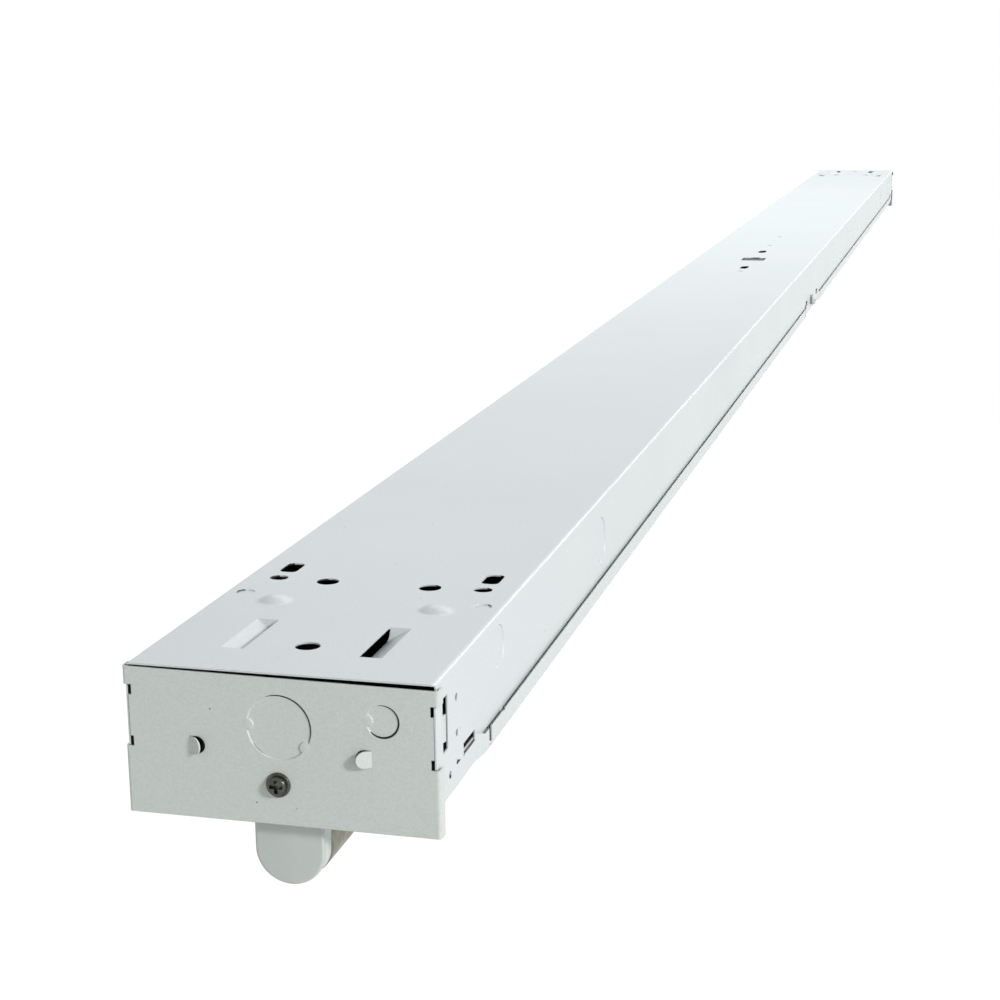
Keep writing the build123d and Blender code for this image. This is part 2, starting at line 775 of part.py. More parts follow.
def end_bracket():
    """Front socket bracket: floor, two side ears with snap lugs and an upstand for the screw."""
    front = from_end(FRONT_FLOOR)
    shoulder = from_end(WALL_SETBACK)
    back = from_end(COVER_SETBACK - STRAP_GAP)
    holder_mid = from_end(HOLDER_SETBACK + HOLDER_T / 2)
    ear_front = from_end(EAR_FRONT)
    ear_back = back - STRAP_GAP
    lugs = bracket_lugs([window_middle(*FRONT_STRAP)])
    with BuildPart() as piece:
        with BuildSketch(Plane.XY.offset(LOW)):
            with Locations((0, (shoulder + back) / 2)):
                Rectangle(2 * (EAR_X + SHEET / 2), back - shoulder)
            with Locations((0, (front + shoulder) / 2)):
                Rectangle(2 * UPSTAND_HALF, shoulder - front)
            with Locations((0, holder_mid)):
                Rectangle(
                    2 * (HEAD_HALF + CUTOUT_CLEAR),
                    HOLDER_T + 2 * CUTOUT_CLEAR,
                    mode=Mode.SUBTRACT,
                )
        extrude(amount=SHEET)
        with BuildSketch(Plane.XY.offset(LOW)):
            for side in SIDES:
                with Locations((side * EAR_X, (ear_front + ear_back) / 2)):
                    Rectangle(SHEET, ear_back - ear_front)
        extrude(amount=EAR_RISE)
        with BuildSketch(Plane.XZ.offset(-front)):
            with Locations((0, LOW + UPSTAND_RISE / 2)):
                Rectangle(2 * UPSTAND_HALF, UPSTAND_RISE)
            with Locations((SCREW_X, SCREW_Z)):
                Circle(SCREW_R + RUNNING, mode=Mode.SUBTRACT)
        extrude(amount=-SHEET)
        add(lugs.part)
    return piece


def centre_bracket():
    """Socket bracket at mid-length: carries two lampholders and is locked by the turn latches."""
    half = COVER_MID - STRAP_GAP
    ear_half = half - STRAP_GAP
    window = window_middle(*MIDDLE_STRAP)
    cutout = 2 * HOLDER_T + HOLDER_PAIR_GAP + 2 * CUTOUT_CLEAR
    lugs = bracket_lugs([window, -window])
    with BuildPart() as piece:
        with BuildSketch(Plane.XY.offset(LOW)):
            Rectangle(2 * (EAR_X + SHEET / 2), 2 * half)
            Rectangle(2 * (HEAD_HALF + CUTOUT_CLEAR), cutout, mode=Mode.SUBTRACT)
        extrude(amount=SHEET)
        with BuildSketch(Plane.XY.offset(LOW)):
            for side in SIDES:
                with Locations((side * EAR_X, 0)):
                    Rectangle(SHEET, 2 * ear_half)
        extrude(amount=EAR_RISE)
        with BuildSketch(Plane.XY.offset(LOW)):
            for side in SIDES:
                with Locations((side * EAR_X, 0)):
                    Rectangle(SHEET, 2 * LATCH_EAR_HALF)
        extrude(amount=LATCH_EAR_RISE)
        add(lugs.part)
        for side in SIDES:
            with BuildSketch(Plane.YZ.offset(side * WALL_IN)):
                with Locations((-side * LATCH_Y, LATCH_Z)):
                    SlotOverall(CAM_L + 2 * CLEAR, 2 * (CAM_HUB_R + CLEAR), rotation=90)
            extrude(amount=-side * 2 * SHEET, mode=Mode.SUBTRACT)
    return piece


def latch_knob(side):
    """Turn latch: slotted knob outside the wall and its shaft through the wall."""
    inner = CAM_X - CAM_T / 2
    with BuildPart() as piece:
        with BuildSketch(Plane.YZ.offset(side * (HALF_W + CLEAR))):
            with Locations((-side * LATCH_Y, LATCH_Z)):
                Circle(KNOB_R)
        extrude(amount=side * KNOB_L)
        rim = piece.edges().sort_by(Axis.X)[-1 if side > 0 else 0]
        fillet(rim, KNOB_EDGE)
        with BuildSketch(Plane.YZ.offset(side * (HALF_W + CLEAR + KNOB_L))):
            with Locations((-side * LATCH_Y, LATCH_Z)):
                Rectangle(2 * KNOB_R, DRIVE_SLOT_W)
        extrude(amount=-side * DRIVE_SLOT_DEPTH, mode=Mode.SUBTRACT)
        with BuildSketch(Plane.YZ.offset(side * inner)):
            with Locations((-side * LATCH_Y, LATCH_Z)):
                Circle(LATCH_SHAFT_R)
        extrude(amount=side * (HALF_W + CLEAR - inner))
    return piece


def latch_cam(side):
    """Cam pressed on the latch shaft, level across the bracket's upright slot when locked."""
    with BuildPart() as piece:
        with BuildSketch(Plane.YZ.offset(side * (CAM_X - CAM_T / 2))):
            with Locations((-side * LATCH_Y, LATCH_Z)):
                SlotOverall(CAM_L, CAM_W)
                Circle(CAM_HUB_R)
                Circle(LATCH_SHAFT_R, mode=Mode.SUBTRACT)
        extrude(amount=side * CAM_T)
    return piece


def holder_plane(place, depth):
    """Plane across a lampholder, a depth from its back face; its Y is up and its Z faces the lamp."""
    back, facing = place
    origin = (0, back + facing * depth, AXIS_Z)
    return Plane(origin=origin, x_dir=(-facing, 0, 0), z_dir=(0, facing, 0))


def holder_outline():
    """Draws the lampholder's outline: straight sides over a round foot."""
    shoulder = LAMP_DROP - SEAT
    with Locations((0, shoulder / 2)):
        Rectangle(2 * HOLDER_R, shoulder)
    Circle(HOLDER_R)


def lampholder_shell(place):
    """Lamp side of a lampholder: rotor pocket, contact chamber, pin entry and snap-in head."""
    facing = place[1]
    entry = 2 * (PIN_R + ENTRY_CLEAR)
    head_low = LAMP_DROP - SEAT
    head_high = HEAD_TOP - AXIS_Z
    barb_low = LAMP_DROP + SHEET + SEAT
    rotor_depth = HOLDER_T - FRONT_WALL - ROTOR_T - 2 * ROTOR_PLAY
    with BuildPart() as piece:
        with BuildSketch(holder_plane(place, HOLDER_BACK_T)):
            holder_outline()
        extrude(amount=HOLDER_T - HOLDER_BACK_T)
        rim = piece.edges().group_by(Axis.Y)[-1 if facing > 0 else 0]
        fillet(rim, HOLDER_EDGE_R)
        with BuildSketch(holder_plane(place, HOLDER_BACK_T)):
            with Locations((0, (head_low + head_high) / 2)):
                Rectangle(2 * HEAD_HALF, head_high - head_low)
            for side in SIDES:
                Polygon(
                    (side * HEAD_HALF, barb_low),
                    (side * (HEAD_HALF + BARB_OUT), barb_low),
                    (side * HEAD_HALF, barb_low + BARB_H),
                    align=None,
                )
        extrude(amount=HOLDER_T - HOLDER_BACK_T - HEAD_FRONT_STEP)
        with BuildSketch(holder_plane(place, HOLDER_BACK_T)):
            with Locations((0, (CHAMBER_TOP - POCKET_R) / 2)):
                Rectangle(2 * CHAMBER_HALF, CHAMBER_TOP + POCKET_R)
        extrude(amount=rotor_depth - HOLDER_BACK_T, mode=Mode.SUBTRACT)
        with BuildSketch(holder_plane(place, HOLDER_BACK_T)):
            Circle(POCKET_R)
        extrude(amount=HOLDER_T - HOLDER_BACK_T - FRONT_WALL, mode=Mode.SUBTRACT)
        with BuildSketch(holder_plane(place, HOLDER_T)):
            Circle(BOSS_R + CLEAR)
        extrude(amount=-2 * FRONT_WALL, mode=Mode.SUBTRACT)
        with BuildSketch(holder_plane(place, HOLDER_T)):
            with Locations((0, -HOLDER_R / 2)):
                Rectangle(entry, HOLDER_R + 2 * CLEAR)
        extrude(amount=HOLDER_BACK_T - HOLDER_T, mode=Mode.SUBTRACT)
        wire_y = place[0] + facing * (HOLDER_BACK_T + rotor_depth) / 2
        with BuildSketch(Plane.XY.offset(HEAD_TOP)):
            with Locations((-WIRE_X, wire_y), (WIRE_X, wire_y)):
                Circle(LEAD_R + LEAD_FIT)
        extrude(amount=AXIS_Z + CHAMBER_TOP - HEAD_TOP, mode=Mode.SUBTRACT)
    return piece


def lampholder_back(place):
    """Thin back of a lampholder, with the arcs that keep the rotor forward."""
    facing = place[1]
    rotor_depth = HOLDER_T - FRONT_WALL - ROTOR_T - 2 * ROTOR_PLAY
    arc_half = CONTACT_X - 2 * CLEAR
    entry = 2 * (PIN_R + ENTRY_CLEAR)
    with BuildPart() as piece:
        with BuildSketch(holder_plane(place, 0)):
            holder_outline()
        extrude(amount=HOLDER_BACK_T - SEAT / 2)
        rim = piece.edges().group_by(Axis.Y)[0 if facing > 0 else -1]
        fillet(rim, HOLDER_BACK_EDGE_R)
        with BuildSketch(holder_plane(place, HOLDER_BACK_T - SEAT / 2)):
            Circle(POCKET_R - SEAT)
            Circle(POCKET_R - SEAT - RING_T, mode=Mode.SUBTRACT)
            for side in SIDES:
                with Locations((side * (arc_half + POCKET_R / 2), 0)):
                    Rectangle(POCKET_R, 2 * POCKET_R, mode=Mode.SUBTRACT)
            with Locations((0, -POCKET_R)):
                Rectangle(entry + 2 * CLEAR, POCKET_R, mode=Mode.SUBTRACT)
        extrude(amount=rotor_depth - HOLDER_BACK_T)
    return piece


def lampholder_rotor(place):
    """Rotor with a pin slot that is open at one end, which faces down to let the lamp out."""
    facing = place[1]
    slot = 2 * (PIN_R + PIN_SLOT_CLEAR)
    rear = HOLDER_T - FRONT_WALL - ROTOR_T - ROTOR_PLAY
    with BuildPart() as piece:
        with BuildSketch(holder_plane(place, rear)):
            Circle(ROTOR_R)
        extrude(amount=ROTOR_T)
        with BuildSketch(holder_plane(place, rear)):
            Circle(BOSS_R)
        extrude(amount=HOLDER_T - rear)
        with BuildSketch(holder_plane(place, rear)):
            with Locations((-facing * PIN_X, 0)):
                Circle(slot / 2)
            with Locations((facing * (ROTOR_R - PIN_X) / 2, 0)):
                Rectangle(ROTOR_R + PIN_X, slot)
        extrude(amount=HOLDER_T - rear, mode=Mode.SUBTRACT)
    return piece


def lampholder_contacts(place):
    """Two sprung strips beside the pins, each bent in over its terminal at the top."""
    rotor_depth = HOLDER_T - FRONT_WALL - ROTOR_T - 2 * ROTOR_PLAY
    start = HOLDER_BACK_T + (rotor_depth - HOLDER_BACK_T - CONTACT_W) / 2
    middle = CONTACT_X + CONTACT_T / 2
    with BuildPart() as piece:
        with BuildSketch(holder_plane(place, start)):
            for side in SIDES:
                with BuildLine():
                    Polyline(
                        (side * middle, -CONTACT_HALF),
                        (side * middle, CONTACT_TOP),
                        (side * (middle - CONTACT_REACH), CONTACT_TOP),
                    )
                trace(line_width=CONTACT_T)
        extrude(amount=CONTACT_W)
    return piece


def lamp_plane(centre, along):
    """Plane across a lamp, a distance along it from its centre; its X is across and its Y is up."""
    return Plane(origin=(0, centre + along, AXIS_Z), x_dir=(1, 0, 0), z_dir=(0, -1, 0))


def lamp_tube(centre):
    """Frosted tube between the two caps."""
    length = LAMP_LENGTH - 2 * CAP_LENGTH - 2 * SPIGOT_FIT
    with BuildPart() as piece:
        with BuildSketch(lamp_plane(centre, 0)):
            Circle(LAMP_R)
            Circle(TUBE_IN, mode=Mode.SUBTRACT)
        extrude(amount=length / 2, both=True)
    return piece


def lamp_cap(centre, end):
    """End cap: a cup with two pin holes and a spigot inside the tube."""
    face = end * LAMP_LENGTH / 2
    with BuildPart() as piece:
        with BuildSketch(lamp_plane(centre, face)):
            Circle(LAMP_R)
        extrude(amount=end * CAP_LENGTH)
        rim = piece.edges().sort_by(Axis.Y)[-1 if end > 0 else 0]
        fillet(rim, CAP_FACE / 2)
        with BuildSketch(lamp_plane(centre, face - end * CAP_LENGTH)):
            Circle(SPIGOT_R)
        extrude(amount=end * SPIGOT_LENGTH)
        with BuildSketch(lamp_plane(centre, face - end * CAP_FACE)):
            Circle(SPIGOT_IN)
        extrude(amount=end * (CAP_LENGTH + SPIGOT_LENGTH), mode=Mode.SUBTRACT)
        with BuildSketch(lamp_plane(centre, face)):
            with GridLocations(PIN_PITCH, 0, 2, 1):
                Circle(PIN_R + PIN_FIT)
        extrude(amount=end * CAP_FACE, mode=Mode.SUBTRACT)
    return piece


def lamp_pins(centre):
    """The four contact pins of one lamp, two in each cap."""
    with BuildPart() as piece:
        for end in SIDES:
            with BuildSketch(lamp_plane(centre, end * (LAMP_LENGTH / 2 + PIN_LENGTH))):
                with GridLocations(PIN_PITCH, 0, 2, 1):
                    Circle(PIN_R)
            extrude(amount=end * (PIN_LENGTH + PIN_ROOT))
        tips = piece.edges().filter_by(GeomType.CIRCLE)
        outer = tips.group_by(Axis.Y)
        chamfer(outer[0] + outer[-1], PIN_R / 3)
    return piece


BOARD_TOP = sqrt((TUBE_IN - SPIGOT_FIT) ** 2 - (BOARD_W / 2) ** 2)
BOARD_LENGTH = LAMP_LENGTH - 2 * (CAP_LENGTH + SPIGOT_LENGTH + CLEAR)


def light_board(centre):
    """Strip board wedged along the top of the tube."""
    with BuildPart() as piece:
        with BuildSketch(lamp_plane(centre, 0)):
            with Locations((0, BOARD_TOP - BOARD_T / 2)):
                Rectangle(BOARD_W, BOARD_T)
        extrude(amount=BOARD_LENGTH / 2, both=True)
    return piece


def light_chips(centre):
    """Row of light chips under the board."""
    count = floor(BOARD_LENGTH / CHIP_PITCH)
    with BuildPart() as piece:
        with BuildSketch(Plane.XY.offset(AXIS_Z + BOARD_TOP - BOARD_T)):
            with Locations((0, centre)):
                with GridLocations(0, CHIP_PITCH, 1, count):
                    Rectangle(CHIP_W, CHIP_L)
        extrude(amount=-CHIP_T)
    return piece


def lamp_driver(centre, end):
    """Small driver board held across the cap's bore, with a coil and two capacitors under it."""
    width = 2 * sqrt((SPIGOT_IN - SPIGOT_FIT) ** 2 - DRIVER_RISE**2)
    start = end * (LAMP_LENGTH / 2 - CAP_FACE - PIN_ROOT)
    with BuildPart() as piece:
        with BuildSketch(lamp_plane(centre, start)):
            with Locations((0, DRIVER_RISE - DRIVER_T / 2)):
                Rectangle(width, DRIVER_T)
        extrude(amount=end * DRIVER_LENGTH)
        under = Plane.XY.offset(AXIS_Z + DRIVER_RISE - DRIVER_T)
        with BuildSketch(under):
            with Locations((0, centre + start - end * DRIVER_PITCH)):
                Rectangle(COIL_W, COIL_L)
        extrude(amount=-COIL_H)
        for place in (2, 3):
            y = start - end * (place * DRIVER_PITCH - CAPACITOR_L / 2)
            with BuildSketch(lamp_plane(centre, y)):
                with Locations((0, DRIVER_RISE - DRIVER_T / 2 - CAPACITOR_R)):
                    Circle(CAPACITOR_R)
            extrude(amount=end * CAPACITOR_L)
    return piece


def terminal_block():
    """Moulded block under the channel's middle slot, clipped into it."""
    with BuildPart() as piece:
        with BuildSketch(Plane.XY.offset(BLOCK_TOP)):
            RectangleRounded(BLOCK_W, BLOCK_L, BLOCK_EDGE)
        extrude(amount=-BLOCK_H)
        with BuildSketch(Plane.XY.offset(BLOCK_TOP)):
            with GridLocations(MID_SLOT_L - 2 * MID_CORNER - CLIP_W, 0, 2, 1):
                Rectangle(CLIP_W, MID_SLOT_W - 2 * CLEAR)
        extrude(amount=SHEET)
        with BuildSketch(Plane.XZ):
            with Locations((0, POLE_Z)):
                with GridLocations(POLE_PITCH, 0, 3, 1):
                    Circle(SLEEVE_R + PIN_FIT)
        extrude(amount=BLOCK_L / 2, both=True, mode=Mode.SUBTRACT)
        with BuildSketch(Plane.XY.offset(BLOCK_TOP - BLOCK_H)):
            with GridLocations(POLE_PITCH, 2 * CLAMP_Y, 3, 2):
                Circle(CLAMP_R + PIN_FIT)
        extrude(amount=BLOCK_H - POLE_DROP, mode=Mode.SUBTRACT)
    return piece


def terminal_sleeves():
    """Three brass sleeves, one a pole, cross-drilled for the clamping screws."""
    with BuildPart() as piece:
        with BuildSketch(Plane.XZ):
            with Locations((0, POLE_Z)):
                with GridLocations(POLE_PITCH, 0, 3, 1):
                    Circle(SLEEVE_R)
                    Circle(SLEEVE_BORE_R, mode=Mode.SUBTRACT)
        extrude(amount=BLOCK_L / 2 - BLOCK_EDGE, both=True)
        with BuildSketch(Plane.XY.offset(POLE_Z - SLEEVE_R)):
            with GridLocations(POLE_PITCH, 2 * CLAMP_Y, 3, 2):
                Circle(CLAMP_R + PIN_FIT)
        extrude(amount=SLEEVE_R, mode=Mode.SUBTRACT)
    return piece


def terminal_screws():
    """Six slotted clamping screws in the underside of the block."""
    low = BLOCK_TOP - BLOCK_H
    with BuildPart() as piece:
        with BuildSketch(Plane.XY.offset(POLE_Z - LEAD_R - SEAT)):
            with GridLocations(POLE_PITCH, 2 * CLAMP_Y, 3, 2):
                Circle(CLAMP_R)
        extrude(amount=low + CLAMP_DEPTH - POLE_Z + LEAD_R + SEAT)
        with BuildSketch(Plane.XY.offset(low + CLAMP_DEPTH)):
            with GridLocations(POLE_PITCH, 2 * CLAMP_Y, 3, 2):
                Rectangle(2 * CLAMP_R, RECESS_W / 2)
        extrude(amount=RECESS_W / 2, mode=Mode.SUBTRACT)
    return piece


def tube_along(points, radius):
    """Round lead along a route of straight runs and tangent bends."""
    with BuildPart() as piece:
        with BuildLine() as route:
            FilletPolyline(*points, radius=LEAD_BEND)
        with BuildSketch(Plane(origin=route.line @ 0, z_dir=route.line % 0)):
            Circle(radius)
        sweep()
    return piece


def wire_end(place):
    """Top of a lampholder's wire hole, as (Y, lowest Z of the lead)."""
    back, facing = place
    rotor_depth = HOLDER_T - FRONT_WALL - ROTOR_T - 2 * ROTOR_PLAY
    y = back + facing * (HOLDER_BACK_T + rotor_depth) / 2
    return y, AXIS_Z + CONTACT_TOP + CONTACT_T / 2 + CLEAR


def outer_lead(place):
    """Line lead: out of the block, down to the bracket floor, along it and into an outer holder."""
    y, tip = wire_end(place)
    out = -place[1]
    crest = HEAD_TOP + LEAD_RISE
    pole = -POLE_PITCH
    points = (
        (pole, out * (BLOCK_L / 2 - LEAD_STRIP), POLE_Z),
        (pole, out * (BLOCK_L / 2 + LOOP_OUT), POLE_Z),
        (pole, out * (BLOCK_L / 2 + LOOP_OUT + LEAD_RUN_OFF), LEAD_Z),
        (pole, y - out * 2 * LEAD_RUN_OFF, LEAD_Z),
        (-WIRE_X, y - out * LEAD_RUN_OFF / 2, crest),
        (-WIRE_X, y, crest),
        (-WIRE_X, y, tip),
    )
    return tube_along(points, LEAD_R)


def inner_lead(place):
    """Neutral lead: out of the block, down in a loop and back into an inner holder."""
    y, tip = wire_end(place)
    out = place[1]
    crest = HEAD_TOP + LEAD_RISE
    far = out * (BLOCK_L / 2 + LOOP_OUT)
    points = (
        (0, out * (BLOCK_L / 2 - LEAD_STRIP), POLE_Z),
        (0, far, POLE_Z),
        (WIRE_X, far, crest),
        (WIRE_X, y, crest),
        (WIRE_X, y, tip),
    )
    return tube_along(points, LEAD_R)


def earth_lead():
    """Earth lead from the block to the ring under the earth screw."""
    ring_z = -SHEET - SEAT - RING_PLATE_T / 2
    points = (
        (POLE_PITCH, BLOCK_L / 2 - LEAD_STRIP, POLE_Z),
        (POLE_PITCH, EARTH_Y / 2, POLE_Z),
        (0, EARTH_Y - LEAD_RUN_OFF, ring_z - LEAD_R + RING_PLATE_T / 2),
        (0, EARTH_Y - PILOT_R - LEAD_R, ring_z - LEAD_R + RING_PLATE_T / 2),
    )
    wire = tube_along(points, LEAD_R)
    with BuildPart() as piece:
        add(wire.part)
        with BuildSketch(Plane.XY.offset(ring_z - RING_PLATE_T / 2)):
            with Locations((0, EARTH_Y)):
                Circle(RING_PLATE_R)
                Circle(PILOT_R + PIN_FIT, mode=Mode.SUBTRACT)
        extrude(amount=RING_PLATE_T)
        with BuildSketch(Plane.XY.offset(ring_z - RING_PLATE_T / 2)):
            with Locations((0, EARTH_Y)):
                Circle(EARTH_HEAD_R + SEAT)
        extrude(amount=-2 * LEAD_R, mode=Mode.SUBTRACT)
    return piece


def earth_screw():
    """Hexagon-head earth screw up into the channel's top."""
    seat = -SHEET - SEAT - RING_PLATE_T - SEAT
    with BuildPart() as piece:
        with BuildSketch(Plane.XY.offset(seat)):
            with Locations((0, EARTH_Y)):
                RegularPolygon(EARTH_HEAD_R, 6)
        extrude(amount=-EARTH_HEAD_H)
        with BuildSketch(Plane.XY.offset(seat)):
            with Locations((0, EARTH_Y)):
                Circle(PILOT_R - PIN_FIT)
        extrude(amount=-seat)
    return piece


HOLDERS = {
    "front_outer": (-HALF_L + HOLDER_SETBACK, 1),
    "front_inner": (-HOLDER_PAIR_GAP / 2, -1),
    "back_inner": (HOLDER_PAIR_GAP / 2, 1),
    "back_outer": (HALF_L - HOLDER_SETBACK, -1),
}
LAMPS = {"front": (-LAMP_MID, -1), "back": (LAMP_MID, 1)}


def main():
    """Builds every piece and writes one file for each."""
    os.makedirs("parts", exist_ok=True)
    save(housing_channel(), "housing_channel")
    for name, piece in (
        ("end_plate", end_plate()),
        ("cover", cover()),
        ("socket_bracket", end_bracket()),
    ):
        save(piece, f"{name}_front")
        save(reversed_piece(piece), f"{name}_back")
    save(end_plate_screws(), "end_plate_screws")
    save(centre_bracket(), "socket_bracket_centre")
    for name, side in (("left", -1), ("right", 1)):
        save(latch_knob(side), f"latch_knob_{name}")
        save(latch_cam(side), f"latch_cam_{name}")
    for name, place in HOLDERS.items():
        save(lampholder_shell(place), f"lampholder_shell_{name}")
        save(lampholder_back(place), f"lampholder_back_{name}")
        save(lampholder_rotor(place), f"lampholder_rotor_{name}")
        save(lampholder_contacts(place), f"lampholder_contacts_{name}")
    for name, (centre, outward) in LAMPS.items():
        save(lamp_tube(centre), f"lamp_tube_{name}")
        save(lamp_cap(centre, outward), f"lamp_cap_{name}_outer")
        save(lamp_cap(centre, -outward), f"lamp_cap_{name}_inner")
        save(lamp_pins(centre), f"lamp_pins_{name}")
        save(light_board(centre), f"light_board_{name}")
        save(light_chips(centre), f"light_chips_{name}")
        save(lamp_driver(centre, outward), f"lamp_driver_{name}")
        save(outer_lead(HOLDERS[f"{name}_outer"]), f"line_lead_{name}")
        save(inner_lead(HOLDERS[f"{name}_inner"]), f"neutral_lead_{name}")
    save(terminal_block(), "terminal_block")
    save(terminal_sleeves(), "terminal_sleeves")
    save(terminal_screws(), "terminal_screws")
    save(earth_lead(), "earth_lead")
    save(earth_screw(), "earth_screw")


if __name__ == "__main__":
    main()
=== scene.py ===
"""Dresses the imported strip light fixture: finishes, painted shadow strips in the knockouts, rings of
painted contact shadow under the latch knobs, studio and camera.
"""

import logging
import math
from dataclasses import dataclass
from enum import Enum

import bmesh
import bpy
from mathutils import Matrix, Vector


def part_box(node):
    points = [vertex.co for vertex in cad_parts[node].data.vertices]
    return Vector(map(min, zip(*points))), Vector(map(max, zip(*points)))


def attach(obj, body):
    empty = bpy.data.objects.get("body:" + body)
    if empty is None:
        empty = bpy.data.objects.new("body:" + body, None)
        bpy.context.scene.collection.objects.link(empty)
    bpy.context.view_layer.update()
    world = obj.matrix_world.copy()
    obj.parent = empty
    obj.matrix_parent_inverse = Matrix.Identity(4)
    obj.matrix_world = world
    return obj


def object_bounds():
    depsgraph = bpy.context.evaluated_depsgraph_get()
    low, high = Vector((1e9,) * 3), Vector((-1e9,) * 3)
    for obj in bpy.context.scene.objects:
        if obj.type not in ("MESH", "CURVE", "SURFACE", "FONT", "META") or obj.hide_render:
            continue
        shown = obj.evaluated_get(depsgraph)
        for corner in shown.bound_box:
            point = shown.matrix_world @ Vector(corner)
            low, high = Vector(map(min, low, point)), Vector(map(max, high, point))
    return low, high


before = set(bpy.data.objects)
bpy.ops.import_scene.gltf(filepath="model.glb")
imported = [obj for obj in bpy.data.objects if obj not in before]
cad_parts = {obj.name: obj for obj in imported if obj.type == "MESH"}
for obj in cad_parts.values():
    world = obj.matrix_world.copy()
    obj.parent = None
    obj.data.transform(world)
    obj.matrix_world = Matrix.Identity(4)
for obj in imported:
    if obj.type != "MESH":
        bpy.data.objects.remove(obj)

CAD_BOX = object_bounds()
LOG = logging.getLogger("strip_light")

Triple = tuple[float, float, float]
Colour = Triple
Span = tuple[float, float]
Socket = bpy.types.NodeSocket

MM = 0.001
WHOLE: Span = (0.0, 1.0)
EVEN: Triple = (1.0, 1.0, 1.0)
WHITE: Colour = (1.0, 1.0, 1.0)

# The middle part of a noise pattern's range, which the finishes map to roughness.
ROUGH_SPAN: Span = (0.3, 0.7)
# Places of the colour sockets on Blender's Mix node.
MIX_FIRST, MIX_SECOND, MIX_RESULT = 6, 7, 2
# Rays for each look into gaps and round edges.
HOLLOW_SAMPLES = 8
EDGE_SAMPLES = 4
# The share of a speck's radius that is fully coloured.
SPECK_CORE = 0.5
# How far a face has to look past the middle of the housing to count as inner and take the inside's painted
# shade.
INNER_SPAN: Span = (-8.0 * MM, -4.0 * MM)


class End(Enum):
    """The two ends of the fixture, named as the CAD nodes name them."""

    FRONT = "front"
    BACK = "back"


class Hand(Enum):
    """The two long sides of the fixture."""

    LEFT = "left"
    RIGHT = "right"


class HolderPlace(Enum):
    """Where each of the four lampholders stands."""

    FRONT_OUTER = "front_outer"
    FRONT_INNER = "front_inner"
    BACK_INNER = "back_inner"
    BACK_OUTER = "back_outer"


@dataclass(frozen=True)
class Hollow:
    """How gaps are found: the reach in metres, and the open shares of sky for a full and for no effect."""

    reach: float
    shut: float
    wide: float


class Tree:
    """A node tree with short ways to add and join its nodes."""

    def __init__(self, tree: bpy.types.NodeTree) -> None:
        """Takes hold of a tree.

        Args:
            tree: the node tree of a material or a world.
        """
        self.tree = tree

    def add(self, kind: str, **settings: object) -> bpy.types.Node:
        """Adds a node.

        Args:
            kind: Blender's name for the node type.
            settings: values for the node's own properties.

        Returns:
            The new node.
        """
        node = self.tree.nodes.new(kind)
        for key, value in settings.items():
            setattr(node, key, value)
        return node

    def join(self, source: Socket, target: Socket) -> None:
        """Links two sockets."""
        self.tree.links.new(source, target)

    def span(self, value: Socket, taken: Span, given: Span = WHOLE) -> Socket:
        """Maps a value from one range to another, held at its ends.

        Args:
            value: the socket to map.
            taken: the values that give the two ends of the result.
            given: the two ends of the result.

        Returns:
            The mapped value.
        """
        node = self.add("ShaderNodeMapRange", clamp=True)
        ends = zip(("From Min", "From Max", "To Min", "To Max"), (*taken, *given))
        for key, number in ends:
            node.inputs[key].default_value = number
        self.join(value, node.inputs["Value"])
        return node.outputs["Result"]

    def seen_rays(self) -> Socket:
        """Finds the rays that show a backdrop.

        Returns:
            A mask that is 1 for camera, glossy and transmission rays.
        """
        paths = self.add("ShaderNodeLightPath").outputs
        total = paths["Is Camera Ray"]
        for kind in ("Is Glossy Ray", "Is Transmission Ray"):
            node = self.add("ShaderNodeMath", operation="MAXIMUM")
            self.join(total, node.inputs[0])
            self.join(paths[kind], node.inputs[1])
            total = node.outputs[0]
        return total


